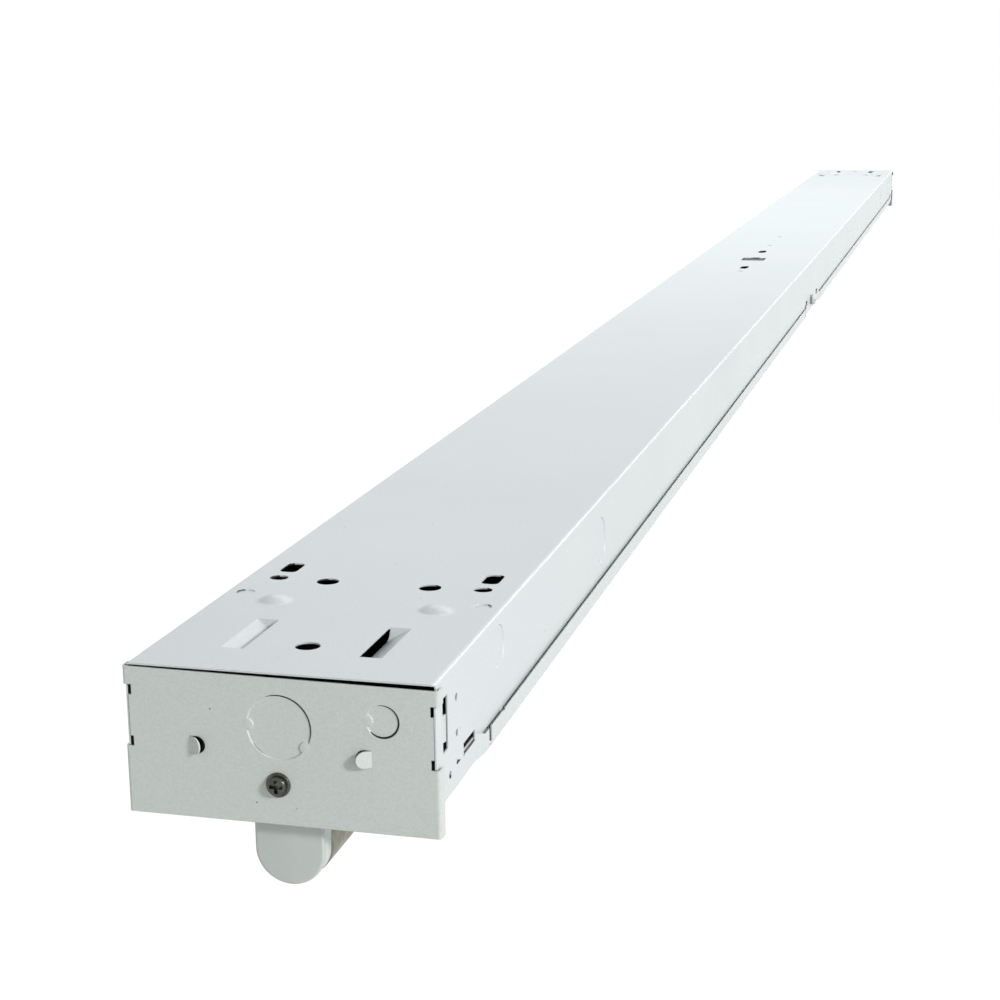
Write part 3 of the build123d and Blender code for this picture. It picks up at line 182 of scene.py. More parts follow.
class Shader(Tree):
    """A material's node tree, with the patterns that the finishes are made of."""

    def __init__(self, name: str) -> None:
        """Makes an empty material.

        Args:
            name: the material's name.
        """
        self.material = bpy.data.materials.new(name)
        self.material.use_nodes = True
        super().__init__(self.material.node_tree)
        self.surface = self.tree.nodes["Principled BSDF"]
        self.place = self.add("ShaderNodeTexCoord").outputs["Object"]

    def noise(self, scale: float, detail: float = 2.0, stretch: Triple = EVEN) -> Socket:
        """Adds a noise pattern in the part's own frame.

        Args:
            scale: waves per metre.
            detail: octaves of finer noise.
            stretch: factors along X, Y and Z, below 1 for a pattern drawn out along that axis.

        Returns:
            The pattern's factor.
        """
        mapping = self.add("ShaderNodeMapping")
        mapping.inputs["Scale"].default_value = stretch
        self.join(self.place, mapping.inputs["Vector"])
        node = self.add("ShaderNodeTexNoise")
        node.inputs["Scale"].default_value = scale
        node.inputs["Detail"].default_value = detail
        self.join(mapping.outputs["Vector"], node.inputs["Vector"])
        return node.outputs["Fac"]

    def times(self, first: Socket, second: Socket) -> Socket:
        """Multiplies two values and returns the product's socket."""
        node = self.add("ShaderNodeMath", operation="MULTIPLY")
        self.join(first, node.inputs[0])
        self.join(second, node.inputs[1])
        return node.outputs[0]

    def mix(self, factor: Socket, first: Socket | Colour, second: Socket | Colour) -> Socket:
        """Blends two colours.

        Args:
            factor: 0 gives the first colour and 1 the second.
            first: a colour or a socket with one.
            second: a colour or a socket with one.

        Returns:
            The blended colour.
        """
        node = self.add("ShaderNodeMix", data_type="RGBA", clamp_factor=True)
        self.join(factor, node.inputs["Factor"])
        for index, colour in ((MIX_FIRST, first), (MIX_SECOND, second)):
            if isinstance(colour, tuple):
                node.inputs[index].default_value = (*colour, 1.0)
            else:
                self.join(colour, node.inputs[index])
        return node.outputs[MIX_RESULT]

    def specks(self, spacing: float, radius: float) -> Socket:
        """Scatters a few small round specks.

        Args:
            spacing: the mean distance between specks in metres.
            radius: the size of a speck in metres.

        Returns:
            A mask that is 1 inside a speck.
        """
        node = self.add("ShaderNodeTexVoronoi")
        node.inputs["Scale"].default_value = 1.0 / spacing
        self.join(self.place, node.inputs["Vector"])
        rim = (SPECK_CORE * radius / spacing, radius / spacing)
        return self.span(node.outputs["Distance"], rim, (1.0, 0.0))

    def hollows(self, hollow: Hollow) -> Socket:
        """Finds gaps and corners.

        Args:
            hollow: what counts as a gap.

        Returns:
            A mask that is 1 deep in a gap and 0 on an open face.
        """
        node = self.add("ShaderNodeAmbientOcclusion", samples=HOLLOW_SAMPLES)
        node.inputs["Distance"].default_value = hollow.reach
        return self.span(node.outputs["AO"], (hollow.shut, hollow.wide), (1.0, 0.0))

    def facing_in(self, axes: Triple, middle: Triple, lowest: float) -> Socket:
        """Finds the faces that look towards the middle of the housing.

        Args:
            axes: 1 for each axis along which the middle counts and 0 for the others.
            middle: the middle's place in metres.
            lowest: the height in metres below which nothing counts as inside.

        Returns:
            A mask that is 1 on an inner face.
        """
        away = self.add("ShaderNodeVectorMath", operation="SUBTRACT")
        self.join(self.place, away.inputs[0])
        away.inputs[1].default_value = middle
        flat = self.add("ShaderNodeVectorMath", operation="MULTIPLY")
        self.join(away.outputs["Vector"], flat.inputs[0])
        flat.inputs[1].default_value = axes
        dot = self.add("ShaderNodeVectorMath", operation="DOT_PRODUCT")
        self.join(flat.outputs["Vector"], dot.inputs[0])
        self.join(self.add("ShaderNodeTexCoord").outputs["Normal"], dot.inputs[1])
        inner = self.span(dot.outputs["Value"], INNER_SPAN, (1.0, 0.0))
        parts = self.add("ShaderNodeSeparateXYZ")
        self.join(self.place, parts.inputs["Vector"])
        return self.times(inner, self.span(parts.outputs["Z"], (lowest - MM, lowest)))

    def rounded(self, radius: float) -> Socket:
        """Rounds sharp edges in the shading.

        Args:
            radius: the edge's radius in metres.

        Returns:
            The rounded normal.
        """
        node = self.add("ShaderNodeBevel", samples=EDGE_SAMPLES)
        node.inputs["Radius"].default_value = radius
        return node.outputs["Normal"]

    def bump(self, height: Socket, depth: float, normal: Socket | None = None) -> Socket:
        """Adds relief.

        Args:
            height: the pattern.
            depth: the relief's depth in metres.
            normal: the normal under it, if not the mesh's own.

        Returns:
            The new normal.
        """
        node = self.add("ShaderNodeBump")
        node.inputs["Strength"].default_value = 1.0
        node.inputs["Distance"].default_value = depth
        self.join(height, node.inputs["Height"])
        if normal is not None:
            self.join(normal, node.inputs["Normal"])
        return node.outputs["Normal"]

    def set(self, **values: float | Colour) -> None:
        """Sets constants on the surface's own sockets, named with underscores for spaces."""
        for key, value in values.items():
            socket = self.surface.inputs[key.replace("_", " ")]
            socket.default_value = (*value, 1.0) if isinstance(value, tuple) else value

    def feed(self, **sources: Socket) -> None:
        """Joins patterns to the surface's sockets, named with underscores for spaces."""
        for key, source in sources.items():
            self.join(source, self.surface.inputs[key.replace("_", " ")])


@dataclass(frozen=True)
class Paint:
    """Baked white enamel on sheet steel: fine grain, orange peel and specks, with painted shade in its
    corners and gaps and on its inner faces.
    """

    name: str
    colour: Colour
    shade: Colour
    axes: Triple
    # corner_shade is painted shade: small corners and the edges of gaps are mixed towards this grey.
    corner_shade: Colour = (0.34, 0.345, 0.31)
    # gap is painted shade: deep gaps, slots and holes are mixed towards this near black.
    gap: Colour = (0.035, 0.036, 0.03)
    # inside is painted shade: the faces that look into the housing take this dark grey.
    inside: Colour = (0.09, 0.092, 0.086)
    speck: Colour = (0.14, 0.13, 0.10)
    specular: float = 0.5
    coat: float = 0.12
    coat_roughness: float = 0.2
    roughness: float = 0.38
    smoother: float = 0.05
    rougher: float = 0.06
    detail: float = 3.0
    grain_scale: float = 1150.0
    grain_span: Span = (0.36, 0.64)
    cloud_scale: float = 7.0
    cloud_span: Span = (0.35, 0.7)
    cloud_share: float = 0.3
    speck_spacing: float = 15.0 * MM
    speck_radius: float = 0.4 * MM
    corner_shade_hollow: Hollow = Hollow(1.2 * MM, 0.05, 0.42)
    gap_shade_hollow: Hollow = Hollow(5.0 * MM, 0.06, 0.22)
    peel_scale: float = 620.0
    peel_depth: float = 0.04 * MM
    edge: float = 0.3 * MM
    middle: Triple = (0.0, 0.0, -0.022)
    lowest: float = -0.1

    def build(self) -> bpy.types.Material:
        """Makes the material and returns it."""
        shader = Shader(self.name)
        shader.set(Specular_IOR_Level=self.specular)
        shader.set(Coat_Weight=self.coat, Coat_Roughness=self.coat_roughness)
        grain = shader.noise(self.grain_scale, self.detail)
        broad = shader.noise(self.cloud_scale, self.detail)
        peel = shader.noise(self.peel_scale)
        tone = shader.mix(shader.span(grain, self.grain_span), self.colour, self.shade)
        clouds = shader.span(broad, self.cloud_span, (0.0, self.cloud_share))
        cloudy = shader.mix(clouds, tone, self.shade)
        specks = shader.specks(self.speck_spacing, self.speck_radius)
        specked = shader.mix(specks, cloudy, self.speck)
        # Painted shade on the faces that look into the housing.
        inner = shader.facing_in(self.axes, self.middle, self.lowest)
        dark = shader.mix(inner, specked, self.inside)
        # Painted shade: small corners and gap edges turn grey.
        corner_shaded = shader.mix(shader.hollows(self.corner_shade_hollow), dark, self.corner_shade)
        # Painted shade: deep gaps and holes turn near black.
        gap_shaded = shader.mix(shader.hollows(self.gap_shade_hollow), corner_shaded, self.gap)
        rough = (self.roughness - self.smoother, self.roughness + self.rougher)
        shader.feed(
            Base_Color=gap_shaded,
            Roughness=shader.span(broad, ROUGH_SPAN, rough),
            Normal=shader.bump(peel, self.peel_depth, shader.rounded(self.edge)),
        )
        return shader.material


@dataclass(frozen=True)
class Metal:
    """Bare or plated metal with fine drawn lines, a tarnished film and painted shade in its recesses."""

    name: str
    colour: Colour
    tarnish: Colour
    roughness: float
    grain: Triple
    rougher: float = 0.12
    grain_scale: float = 900.0
    grain_depth: float = 0.012 * MM
    film_scale: float = 240.0
    film_detail: float = 3.0
    film_span: Span = (0.4, 0.7)
    film_share: float = 0.7
    # recess_shade is painted shade: recesses, such as a screw head's cross recess, are mixed towards this
    # near black.
    recess_shade: Colour = (0.05, 0.05, 0.04)
    recess_shade_hollow: Hollow = Hollow(1.6 * MM, 0.1, 0.6)
    edge: float = 0.15 * MM

    def build(self) -> bpy.types.Material:
        """Makes the material and returns it."""
        shader = Shader(self.name)
        shader.set(Metallic=1.0)
        lines = shader.noise(self.grain_scale, stretch=self.grain)
        film = shader.noise(self.film_scale, self.film_detail)
        dull_film_and_shade = shader.span(film, self.film_span, (0.0, self.film_share))
        tone = shader.mix(dull_film_and_shade, self.colour, self.tarnish)
        rough = (self.roughness, self.roughness + self.rougher)
        shader.feed(
            # Painted shade in recesses.
            Base_Color=shader.mix(shader.hollows(self.recess_shade_hollow), tone, self.recess_shade),
            Roughness=shader.span(film, ROUGH_SPAN, rough),
            Normal=shader.bump(lines, self.grain_depth, shader.rounded(self.edge)),
        )
        return shader.material


@dataclass(frozen=True)
class Moulding:
    """Moulded plastic or rubber with a faint spark-eroded grain, translucent where it has a glow, and
    darker in its hollows as painted shade.
    """

    name: str
    colour: Colour
    shade: Colour
    roughness: float
    glow: float = 0.0
    glow_depth: float = 1.5 * MM
    rougher: float = 0.1
    grain_scale: float = 1500.0
    grain_depth: float = 0.01 * MM
    flow_scale: float = 55.0
    flow_detail: float = 3.0
    flow_stretch: Triple = (1.0, 1.0, 0.4)
    flow_span: Span = (0.35, 0.68)
    # hollow_shade_share is painted shade: hollows take the second colour darkened by this share.
    hollow_shade_share: float = 0.55
    moulding_shade_hollow: Hollow = Hollow(2.5 * MM, 0.1, 0.6)
    edge: float = 0.3 * MM

    def build(self) -> bpy.types.Material:
        """Makes the material and returns it."""
        shader = Shader(self.name)
        if self.glow > 0.0:
            shader.set(Subsurface_Weight=self.glow, Subsurface_Scale=self.glow_depth)
        grain = shader.noise(self.grain_scale)
        flow = shader.noise(self.flow_scale, self.flow_detail, self.flow_stretch)
        tone = shader.mix(shader.span(flow, self.flow_span), self.colour, self.shade)
        # Painted shade: the darkened colour that hollows take.
        dull_film_and_shade = tuple(self.hollow_shade_share * channel for channel in self.shade)
        rough = (self.roughness, self.roughness + self.rougher)
        shader.feed(
            Base_Color=shader.mix(shader.hollows(self.moulding_shade_hollow), tone, dull_film_and_shade),
            Roughness=shader.span(flow, ROUGH_SPAN, rough),
            Normal=shader.bump(grain, self.grain_depth, shader.rounded(self.edge)),
        )
        return shader.material


@dataclass(frozen=True)
class Lens:
    """Frosted polycarbonate tube that lets the light boards show faintly through."""

    name: str
    colour: Colour
    shade: Colour
    roughness: float = 0.42
    rougher: float = 0.12
    clear: float = 0.35
    index: float = 1.58
    glow: float = 0.25
    glow_depth: float = 2.0 * MM
    frost_scale: float = 2600.0
    frost_depth: float = 0.008 * MM
    draw_scale: float = 160.0
    draw_stretch: Triple = (1.0, 0.02, 1.0)
    draw_span: Span = (0.35, 0.65)

    def build(self) -> bpy.types.Material:
        """Makes the material and returns it."""
        shader = Shader(self.name)
        shader.set(IOR=self.index, Transmission_Weight=self.clear)
        shader.set(Subsurface_Weight=self.glow, Subsurface_Scale=self.glow_depth)
        frost = shader.noise(self.frost_scale)
        draw = shader.noise(self.draw_scale, stretch=self.draw_stretch)
        rough = (self.roughness, self.roughness + self.rougher)
        shader.feed(
            Base_Color=shader.mix(shader.span(draw, self.draw_span), self.colour, self.shade),
            Roughness=shader.span(frost, ROUGH_SPAN, rough),
            Normal=shader.bump(frost, self.frost_depth),
        )
        return shader.material


@dataclass(frozen=True)
class Mask:
    """Printed circuit solder mask with faint copper runs under it."""

    name: str
    colour: Colour
    run: Colour
    roughness: float = 0.4
    rougher: float = 0.15
    run_scale: float = 320.0
    run_stretch: Triple = (1.0, 0.12, 1.0)
    run_span: Span = (0.5, 0.54)
    run_share: float = 0.6
    run_depth: float = 0.03 * MM
    fibre_scale: float = 2200.0

    def build(self) -> bpy.types.Material:
        """Makes the material and returns it."""
        shader = Shader(self.name)
        runs = shader.noise(self.run_scale, 0.0, self.run_stretch)
        fibre = shader.noise(self.fibre_scale, 1.0)
        shown = shader.span(runs, self.run_span, (0.0, self.run_share))
        rough = (self.roughness, self.roughness + self.rougher)
        shader.feed(
            Base_Color=shader.mix(shown, self.colour, self.run),
            Roughness=shader.span(fibre, ROUGH_SPAN, rough),
            Normal=shader.bump(runs, self.run_depth),
        )
        return shader.material


# The housing's inside, which takes painted shade, is found across and upwards, an end plate's along the
# light.
ACROSS: Triple = (1.0, 0.0, 1.0)
ALONG: Triple = (0.0, 1.0, 0.0)
CHANNEL_LOW = -0.0434

FINISHES = {
    finish.name: finish
    for finish in (
        Paint("white_paint", (0.778, 0.836, 0.842), (0.716, 0.772, 0.778), ACROSS),
        # plate_paint_painted_light is the channel's own enamel, made darker and greener as painted shade
        # and warm light on the end plates.
        Paint("plate_paint_painted_light", (0.748, 0.802, 0.764), (0.688, 0.740, 0.704), ALONG, lowest=CHANNEL_LOW),
        Paint("cover_paint", (0.765, 0.822, 0.822), (0.705, 0.760, 0.758), ACROSS),
        Metal("zinc_steel", (0.10, 0.105, 0.09), (0.03, 0.031, 0.024), 0.22, EVEN),
        Moulding("knob_plastic", (0.82, 0.83, 0.82), (0.76, 0.77, 0.75), 0.34),
        Moulding(
            "holder_plastic", (0.665, 0.722, 0.687), (0.615, 0.668, 0.633), 0.34, glow=0.2, edge=0.9 * MM
        ),
        Moulding("rotor_plastic", (0.70, 0.71, 0.69), (0.64, 0.65, 0.62), 0.5),
        Metal("contact_bronze", (0.72, 0.56, 0.30), (0.5, 0.36, 0.2), 0.3, (1.0, 1.0, 0.1)),
        Lens("tube_lens", (0.90, 0.91, 0.92), (0.86, 0.87, 0.88)),
        Metal("cap_metal", (0.25, 0.245, 0.195), (0.19, 0.185, 0.14), 0.36, (1.0, 0.03, 1.0)),
        Metal("pin_brass", (0.74, 0.62, 0.36), (0.55, 0.43, 0.24), 0.28, (1.0, 0.1, 1.0)),
        Mask("board_white", (0.88, 0.88, 0.86), (0.80, 0.80, 0.77)),
        Moulding("chip_yellow", (0.85, 0.76, 0.30), (0.80, 0.68, 0.22), 0.3, edge=0.1 * MM),
        Mask("driver_green", (0.12, 0.34, 0.20), (0.16, 0.42, 0.22)),
        Moulding("lead_black", (0.04, 0.04, 0.042), (0.055, 0.055, 0.055), 0.45),
        Moulding("lead_white", (0.82, 0.82, 0.80), (0.77, 0.77, 0.74), 0.45),
        Moulding("lead_green", (0.10, 0.40, 0.16), (0.08, 0.34, 0.13), 0.45),
        Moulding("block_plastic", (0.06, 0.06, 0.065), (0.045, 0.045, 0.05), 0.5),
        # painted_slit_shadow: near black, for the painted shadow strips of the knockouts.
        Moulding("painted_slit_shadow", (0.03, 0.031, 0.026), (0.02, 0.02, 0.017), 0.75),
        # contact_shadow_black: near black, for the rings of painted contact shadow under the latch knobs.
        Moulding("contact_shadow_black", (0.07, 0.07, 0.068), (0.05, 0.05, 0.048), 0.6),
        Metal("earth_steel", (0.07, 0.20, 0.11), (0.04, 0.12, 0.07), 0.3, EVEN),
    )
}


class FinishShelf:
    """Makes each finish once and hands it out by its name."""

    def __init__(self) -> None:
        """Starts with nothing made."""
        self.made: dict[str, bpy.types.Material] = {}

    def get(self, name: str) -> bpy.types.Material:
        """Returns the named finish's material, made at its first use."""
        if name not in self.made:
            self.made[name] = FINISHES[name].build()
        return self.made[name]

    def dress(self, node: str, name: str) -> None:
        """Gives a CAD node a finish.

        Args:
            node: the CAD node's name.
            name: the finish's name.
        """
        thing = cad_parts[node]
        for slot in thing.material_slots:
            slot.material = self.get(name)
        LOG.info("%s has the finish %s", node, name)

    def fit(self, name: str, shape: bmesh.types.BMesh, finish: str, body: str, slot: str) -> None:
        """Turns a shape into a finished piece that rides on a body.

        Args:
            name: the piece's name.
            shape: the mesh, in the part's frame, which is used up.
            finish: the finish's name.
            body: the body that carries it.
            slot: not used.
        """
        mesh = bpy.data.meshes.new(name)
        bmesh.ops.recalc_face_normals(shape, faces=shape.faces)
        shape.to_mesh(mesh)
        shape.free()
        mesh.shade_smooth()
        mesh.materials.append(self.get(finish))
        piece = bpy.data.objects.new(name, mesh)
        bpy.context.scene.collection.objects.link(piece)
        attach(piece, body)
        LOG.info("%s rides on %s", name, body)


def looped(rings: list[list[Vector]], closed: bool) -> bmesh.types.BMesh:
    """Skins a row of closed rings.

    Args:
        rings: the rings, each with the same number of points.
        closed: whether the last ring joins the first; if not, both ends get a cap.

    Returns:
        The skinned mesh.
    """
    shape = bmesh.new()
    rows = [[shape.verts.new(point) for point in ring] for ring in rings]
    count = len(rows[0])
    for first, second in zip(rows, rows[1:] + (rows[:1] if closed else [])):
        for index in range(count):
            after = (index + 1) % count
            shape.faces.new((first[index], first[after], second[after], second[index]))
    if not closed:
        shape.faces.new(rows[0])
        shape.faces.new(rows[-1][::-1])
    return shape


@dataclass(frozen=True)
class Knockout:
    """A round knockout of an end plate: its middle and its radius in metres."""

    x: float
    z: float
    radius: float


LARGE_KNOCKOUT = Knockout(0.0, -18.8 * MM, 11.1 * MM)
SMALL_KNOCKOUT = Knockout(36.0 * MM, -14.0 * MM, 5.5 * MM)


@dataclass(frozen=True)
class SlitShadow:
    """A thin dark strip on the wall of a pressed knockout: painted shadow in the sheared line that opens
    along one side of it.

    It runs from start to stop in degrees, and is widest halfway, where its foot spreads inwards.
    """

    name: str
    knockout: Knockout
    start: float
    stop: float
    push: float = 0.5 * MM
    lip: float = 0.3 * MM
    lift: float = 0.04 * MM
    spread: float = 0.45 * MM
    thinnest: float = 0.05
    steps: int = 40

    def build(self, shelf: FinishShelf, end: End) -> None:
        """Lays the painted shadow strip in an end plate's knockout.

        Args:
            shelf: where the finish comes from.
            end: the end that carries the plate.
        """
        low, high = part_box("housing_channel")
        face, inward = (low.y, 1.0) if end is End.FRONT else (high.y, -1.0)
        rings = []
        for step in range(self.steps + 1):
            share = step / self.steps
            angle = math.radians(self.start + share * (self.stop - self.start))
            ring = []
            for out, depth in self.section(share):
                reach = self.knockout.radius + out
                across = self.knockout.x + reach * math.cos(angle)
                height = self.knockout.z + reach * math.sin(angle)
                ring.append(Vector((across, face + inward * depth, height)))
            rings.append(ring)
        # The strip is near black: painted shadow where the knockout's sheared line opens.
        shelf.fit(f"{self.name}_{end.value}", looped(rings, False), "painted_slit_shadow", "fixture", "block_plastic")

    def section(self, share: float) -> tuple[Span, ...]:
        """Finds the strip's cross-section.

        Args:
            share: how far along the strip it lies, from 0 to 1.

        Returns:
            The corners, each as its distance outside the knockout's radius and its depth under the face.
        """
        swell = math.sqrt(max(math.sin(math.pi * share), self.thinnest))
        foot = 0.5 * (1.0 - swell) * self.lip - swell * self.spread
        return (
            (self.lip, self.lift),
            (foot, self.push - self.lift),
            (foot, self.push),
            (self.lip, 2.0 * self.lift),
        )


@dataclass
class Housing:
    """The bent steel body: channel, end plates, wireway covers, lampholder brackets and their screws."""

    shelf: FinishShelf
    # Painted shadow strips, three in each end plate's knockouts.
    slit_shadows: tuple[SlitShadow, ...] = (
        SlitShadow("large_slit_shadow", LARGE_KNOCKOUT, -24.0, 114.0),
        SlitShadow("low_slit_shadow", LARGE_KNOCKOUT, 192.0, 262.0, spread=0.0),
        SlitShadow("small_slit_shadow", SMALL_KNOCKOUT, -140.0, 108.0),
    )

    def build(self) -> None:
        """Dresses the steel pieces and lays painted shadow strips in the knockouts."""
        self.shelf.dress("housing_channel", "white_paint")
        for end in End:
            self.shelf.dress(f"end_plate_{end.value}", "plate_paint_painted_light")
            self.shelf.dress(f"cover_{end.value}", "cover_paint")
            for slit_shadow in self.slit_shadows:
                slit_shadow.build(self.shelf, end)
        for place in ("front", "centre", "back"):
            self.shelf.dress(f"socket_bracket_{place}", "white_paint")
        self.shelf.dress("end_plate_screws", "zinc_steel")


@dataclass
class TurnLatch:
    """One quarter-turn latch of the centre bracket: knob outside the wall with a ring of painted contact
    shadow under it, cam inside it.
    """

    shelf: FinishShelf
    hand: Hand
    bore: float = 2.2 * MM
    lip: float = 0.9 * MM
    gap: float = 0.3 * MM
    play: float = 0.03 * MM
    edge: float = 0.08 * MM
    steps: int = 48

    def build(self) -> None:
        """Dresses the knob and the cam and lays the ring of painted contact shadow."""
        self.shelf.dress(f"latch_knob_{self.hand.value}", "knob_plastic")
        self.shelf.dress(f"latch_cam_{self.hand.value}", "zinc_steel")
        self.lay_contact_shadow()

    def lay_contact_shadow(self) -> None:
        """Lays a flat near-black ring between the knob and the wall, a painted contact shadow under the
        knob.
        """
        low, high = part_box(f"latch_knob_{self.hand.value}")
        side = -1.0 if self.hand is Hand.LEFT else 1.0
        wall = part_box("housing_channel")[1].x
        outer = 0.5 * (high.y - low.y) + self.lip
        middle = 0.5 * (low + high)
        back, front = self.play, self.gap - self.play
        section = (
            (self.bore, back), (outer - self.edge, back), (outer, back + self.edge),
            (outer, front - self.edge), (outer - self.edge, front), (self.bore, front),
        )
        rings = []
        for step in range(self.steps):
            turn = 2.0 * math.pi * step / self.steps
            round_y, round_z = math.cos(turn), math.sin(turn)
            rings.append([
                Vector((side * (wall + out), middle.y + reach * round_y, middle.z + reach * round_z))
                for reach, out in section
            ])
        name = f"latch_contact_shadow_{self.hand.value}"
        # The ring is near black: painted contact shadow of the knob on the wall.
        self.shelf.fit(name, looped(rings, True), "contact_shadow_black", "fixture", "block_plastic")


@dataclass
class Lampholder:
    """One rotary lampholder: shell, back, rotor and contacts."""

    shelf: FinishShelf
    place: HolderPlace

    def build(self) -> None:
        """Dresses the holder's four pieces."""
        for piece, finish in (
            ("shell", "holder_plastic"),
            ("back", "holder_plastic"),
            ("rotor", "rotor_plastic"),
            ("contacts", "contact_bronze"),
        ):
            self.shelf.dress(f"lampholder_{piece}_{self.place.value}", finish)


@dataclass
class Lamp:
    """One LED tube: lens, caps, pins, light board, chips and driver."""

    shelf: FinishShelf
    end: End

    def build(self) -> None:
        """Dresses the tube and what is in it."""
        name = self.end.value
        for node, finish in (
            (f"lamp_tube_{name}", "tube_lens"),
            (f"lamp_cap_{name}_outer", "cap_metal"),
            (f"lamp_cap_{name}_inner", "cap_metal"),
            (f"lamp_pins_{name}", "pin_brass"),
            (f"light_board_{name}", "board_white"),
            (f"light_chips_{name}", "chip_yellow"),
            (f"lamp_driver_{name}", "driver_green"),
        ):
            self.shelf.dress(node, finish)


@dataclass
class Wiring:
    """The leads in the wireway, the terminal block and the earth point."""

    shelf: FinishShelf

    def build(self) -> None:
        """Dresses the wiring."""
        for end in End:
            self.shelf.dress(f"line_lead_{end.value}", "lead_black")
            self.shelf.dress(f"neutral_lead_{end.value}", "lead_white")
        self.shelf.dress("earth_lead", "lead_green")
        self.shelf.dress("terminal_block", "block_plastic")
        self.shelf.dress("terminal_sleeves", "contact_bronze")
        self.shelf.dress("terminal_screws", "zinc_steel")
        self.shelf.dress("earth_screw", "earth_steel")


@dataclass(frozen=True)
class Sun:
    """A distant light: the direction to it, its irradiance, its angular size in degrees and its colour."""

    name: str
    towards: Triple
    strength: float
    spread: float
    colour: Colour = WHITE

    def build(self) -> None:
        """Adds the light."""
        data = bpy.data.lights.new(self.name, "SUN")
        data.energy = self.strength
        data.angle = math.radians(self.spread)
        data.color = self.colour
        light = bpy.data.objects.new(self.name, data)
        light.rotation_euler = Vector(self.towards).to_track_quat("Z", "Y").to_euler()
        bpy.context.scene.collection.objects.link(light)


@dataclass(frozen=True)
class Panel:
    """A square soft light: its place, the point it faces, its side in metres, its power and its colour."""

    name: str
    place: Triple
    aim: Triple
    side: float
    power: float
    colour: Colour = WHITE

    def build(self) -> None:
        """Adds the light."""
        data = bpy.data.lights.new(self.name, "AREA")
        data.energy = self.power
        data.size = self.side
        data.color = self.colour
        light = bpy.data.objects.new(self.name, data)
        away = Vector(self.place) - Vector(self.aim)
        turn = away.to_track_quat("Z", "Y").to_matrix().to_4x4()
        light.matrix_world = Matrix.Translation(self.place) @ turn
        bpy.context.scene.collection.objects.link(light)


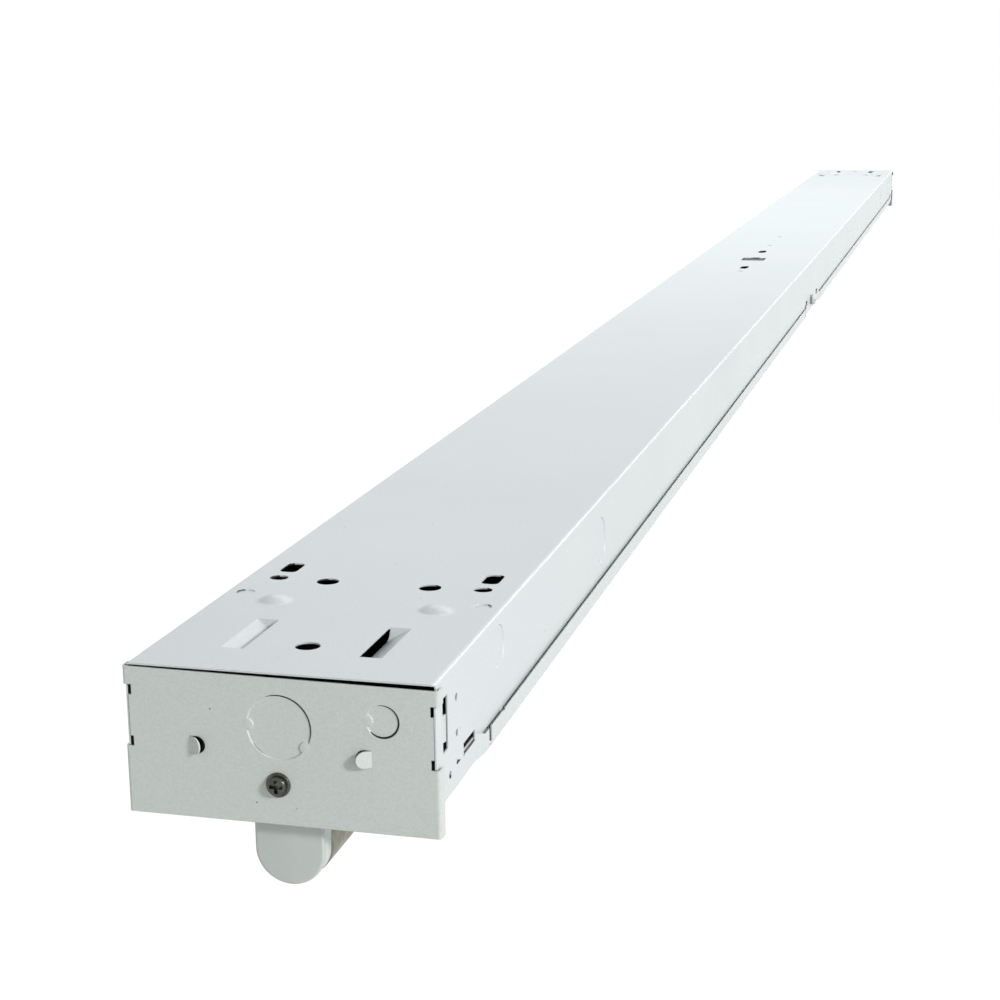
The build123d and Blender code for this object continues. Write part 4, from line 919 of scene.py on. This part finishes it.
@dataclass
class Studio:
    """The pale floor, the lights, the surround and the camera."""

    floor_drop: float = 0.62
    floor_half: float = 7.0
    floor_colour: Colour = (0.86, 0.86, 0.86)
    floor_roughness: float = 0.9
    floor_glow: float = 1.07
    floor_glow_share: float = 0.9
    ambient: float = 0.3
    camera_place: Triple = (0.22365, -1.78222, 0.20080)
    camera_aim: Triple = (-0.24722, 0.94056, -0.23287)
    camera_roll: float = math.radians(-0.7)
    camera_near: float = 0.05
    camera_far: float = 60.0
    lens: float = 69.379
    sensor: float = 36.0
    suns: tuple[Sun, ...] = (
        Sun("key_light", (0.80, -0.42, 0.44), 1.76, 9.0),
        Sun("left_light", (-0.88, 0.42, 0.12), 0.5, 40.0),
        Sun("rim_light", (0.31, 0.91, 0.27), 0.26, 10.0),
    )
    panels: tuple[Panel, ...] = (
        Panel("far_panel", (-0.15, 0.58, 1.20), (0.0, 0.58, 0.0), 1.5, 11.5, (0.92, 0.97, 1.0)),
        Panel("near_panel", (0.30, -1.40, 0.02), (0.054, -1.22, -0.02), 0.15, 0.1),
    )

    def build(self) -> None:
        """Makes the floor, world, lights and camera."""
        self.make_floor()
        self.make_world()
        for light in (*self.suns, *self.panels):
            light.build()
        self.make_camera()
        bpy.context.scene.view_settings.view_transform = "Standard"

    def make_floor(self) -> None:
        """Lays a pale floor under the fixture, open to a view from below."""
        mesh = bpy.data.meshes.new("floor")
        low = CAD_BOX[0].z - self.floor_drop
        half = self.floor_half
        corners = [(-half, -half, low), (half, -half, low), (half, half, low), (-half, half, low)]
        mesh.from_pydata(corners, [], [(0, 1, 2, 3)])
        floor = bpy.data.objects.new("floor", mesh)
        bpy.context.scene.collection.objects.link(floor)
        mesh.materials.append(self.floor_finish())

    def floor_finish(self) -> bpy.types.Material:
        """Makes the floor's material: white to the camera with a trace of shadow, clear from below.

        Returns:
            The material.
        """
        shader = Shader("pale_floor")
        shader.set(Base_Color=self.floor_colour, Roughness=self.floor_roughness, Specular_IOR_Level=0.0)
        white = shader.add("ShaderNodeEmission")
        white.inputs["Strength"].default_value = self.floor_glow
        blend = shader.add("ShaderNodeMixShader")
        shader.join(shader.span(shader.seen_rays(), WHOLE, (0.0, self.floor_glow_share)), blend.inputs[0])
        shader.join(shader.surface.outputs[0], blend.inputs[1])
        shader.join(white.outputs[0], blend.inputs[2])
        clear = shader.add("ShaderNodeBsdfTransparent")
        whole = shader.add("ShaderNodeMixShader")
        shader.join(shader.add("ShaderNodeNewGeometry").outputs["Backfacing"], whole.inputs[0])
        shader.join(blend.outputs[0], whole.inputs[1])
        shader.join(clear.outputs[0], whole.inputs[2])
        shader.join(whole.outputs[0], shader.tree.nodes["Material Output"].inputs["Surface"])
        return shader.material

    def make_world(self) -> None:
        """Makes an even white surround, dimmer as a light than as a backdrop."""
        world = bpy.data.worlds.new("studio_surround")
        bpy.context.scene.world = world
        world.use_nodes = True
        world.node_tree.nodes.clear()
        tree = Tree(world.node_tree)
        ground = tree.add("ShaderNodeBackground")
        ground.inputs["Color"].default_value = (*WHITE, 1.0)
        level = tree.span(tree.seen_rays(), WHOLE, (self.ambient, 1.0))
        tree.join(level, ground.inputs["Strength"])
        output = tree.add("ShaderNodeOutputWorld")
        tree.join(ground.outputs[0], output.inputs["Surface"])

    def make_camera(self) -> None:
        """Sets the camera where the photograph was taken from."""
        data = bpy.data.cameras.new("camera")
        data.sensor_width = self.sensor
        data.lens = self.lens
        data.clip_start = self.camera_near
        data.clip_end = self.camera_far
        camera = bpy.data.objects.new("camera", data)
        aim = Vector(self.camera_aim).to_track_quat("-Z", "Y").to_matrix()
        roll = Matrix.Rotation(self.camera_roll, 3, "Z")
        camera.matrix_world = Matrix.Translation(self.camera_place) @ (aim @ roll).to_4x4()
        bpy.context.scene.collection.objects.link(camera)
        bpy.context.scene.camera = camera


def main() -> None:
    """Builds the dressed fixture and its studio."""
    logging.basicConfig(level=logging.INFO, format="%(message)s")
    shelf = FinishShelf()
    Studio().build()
    Housing(shelf).build()
    for hand in Hand:
        TurnLatch(shelf, hand).build()
    for place in HolderPlace:
        Lampholder(shelf, place).build()
    for end in End:
        Lamp(shelf, end).build()
    Wiring(shelf).build()


if __name__ == "__main__":
    main()
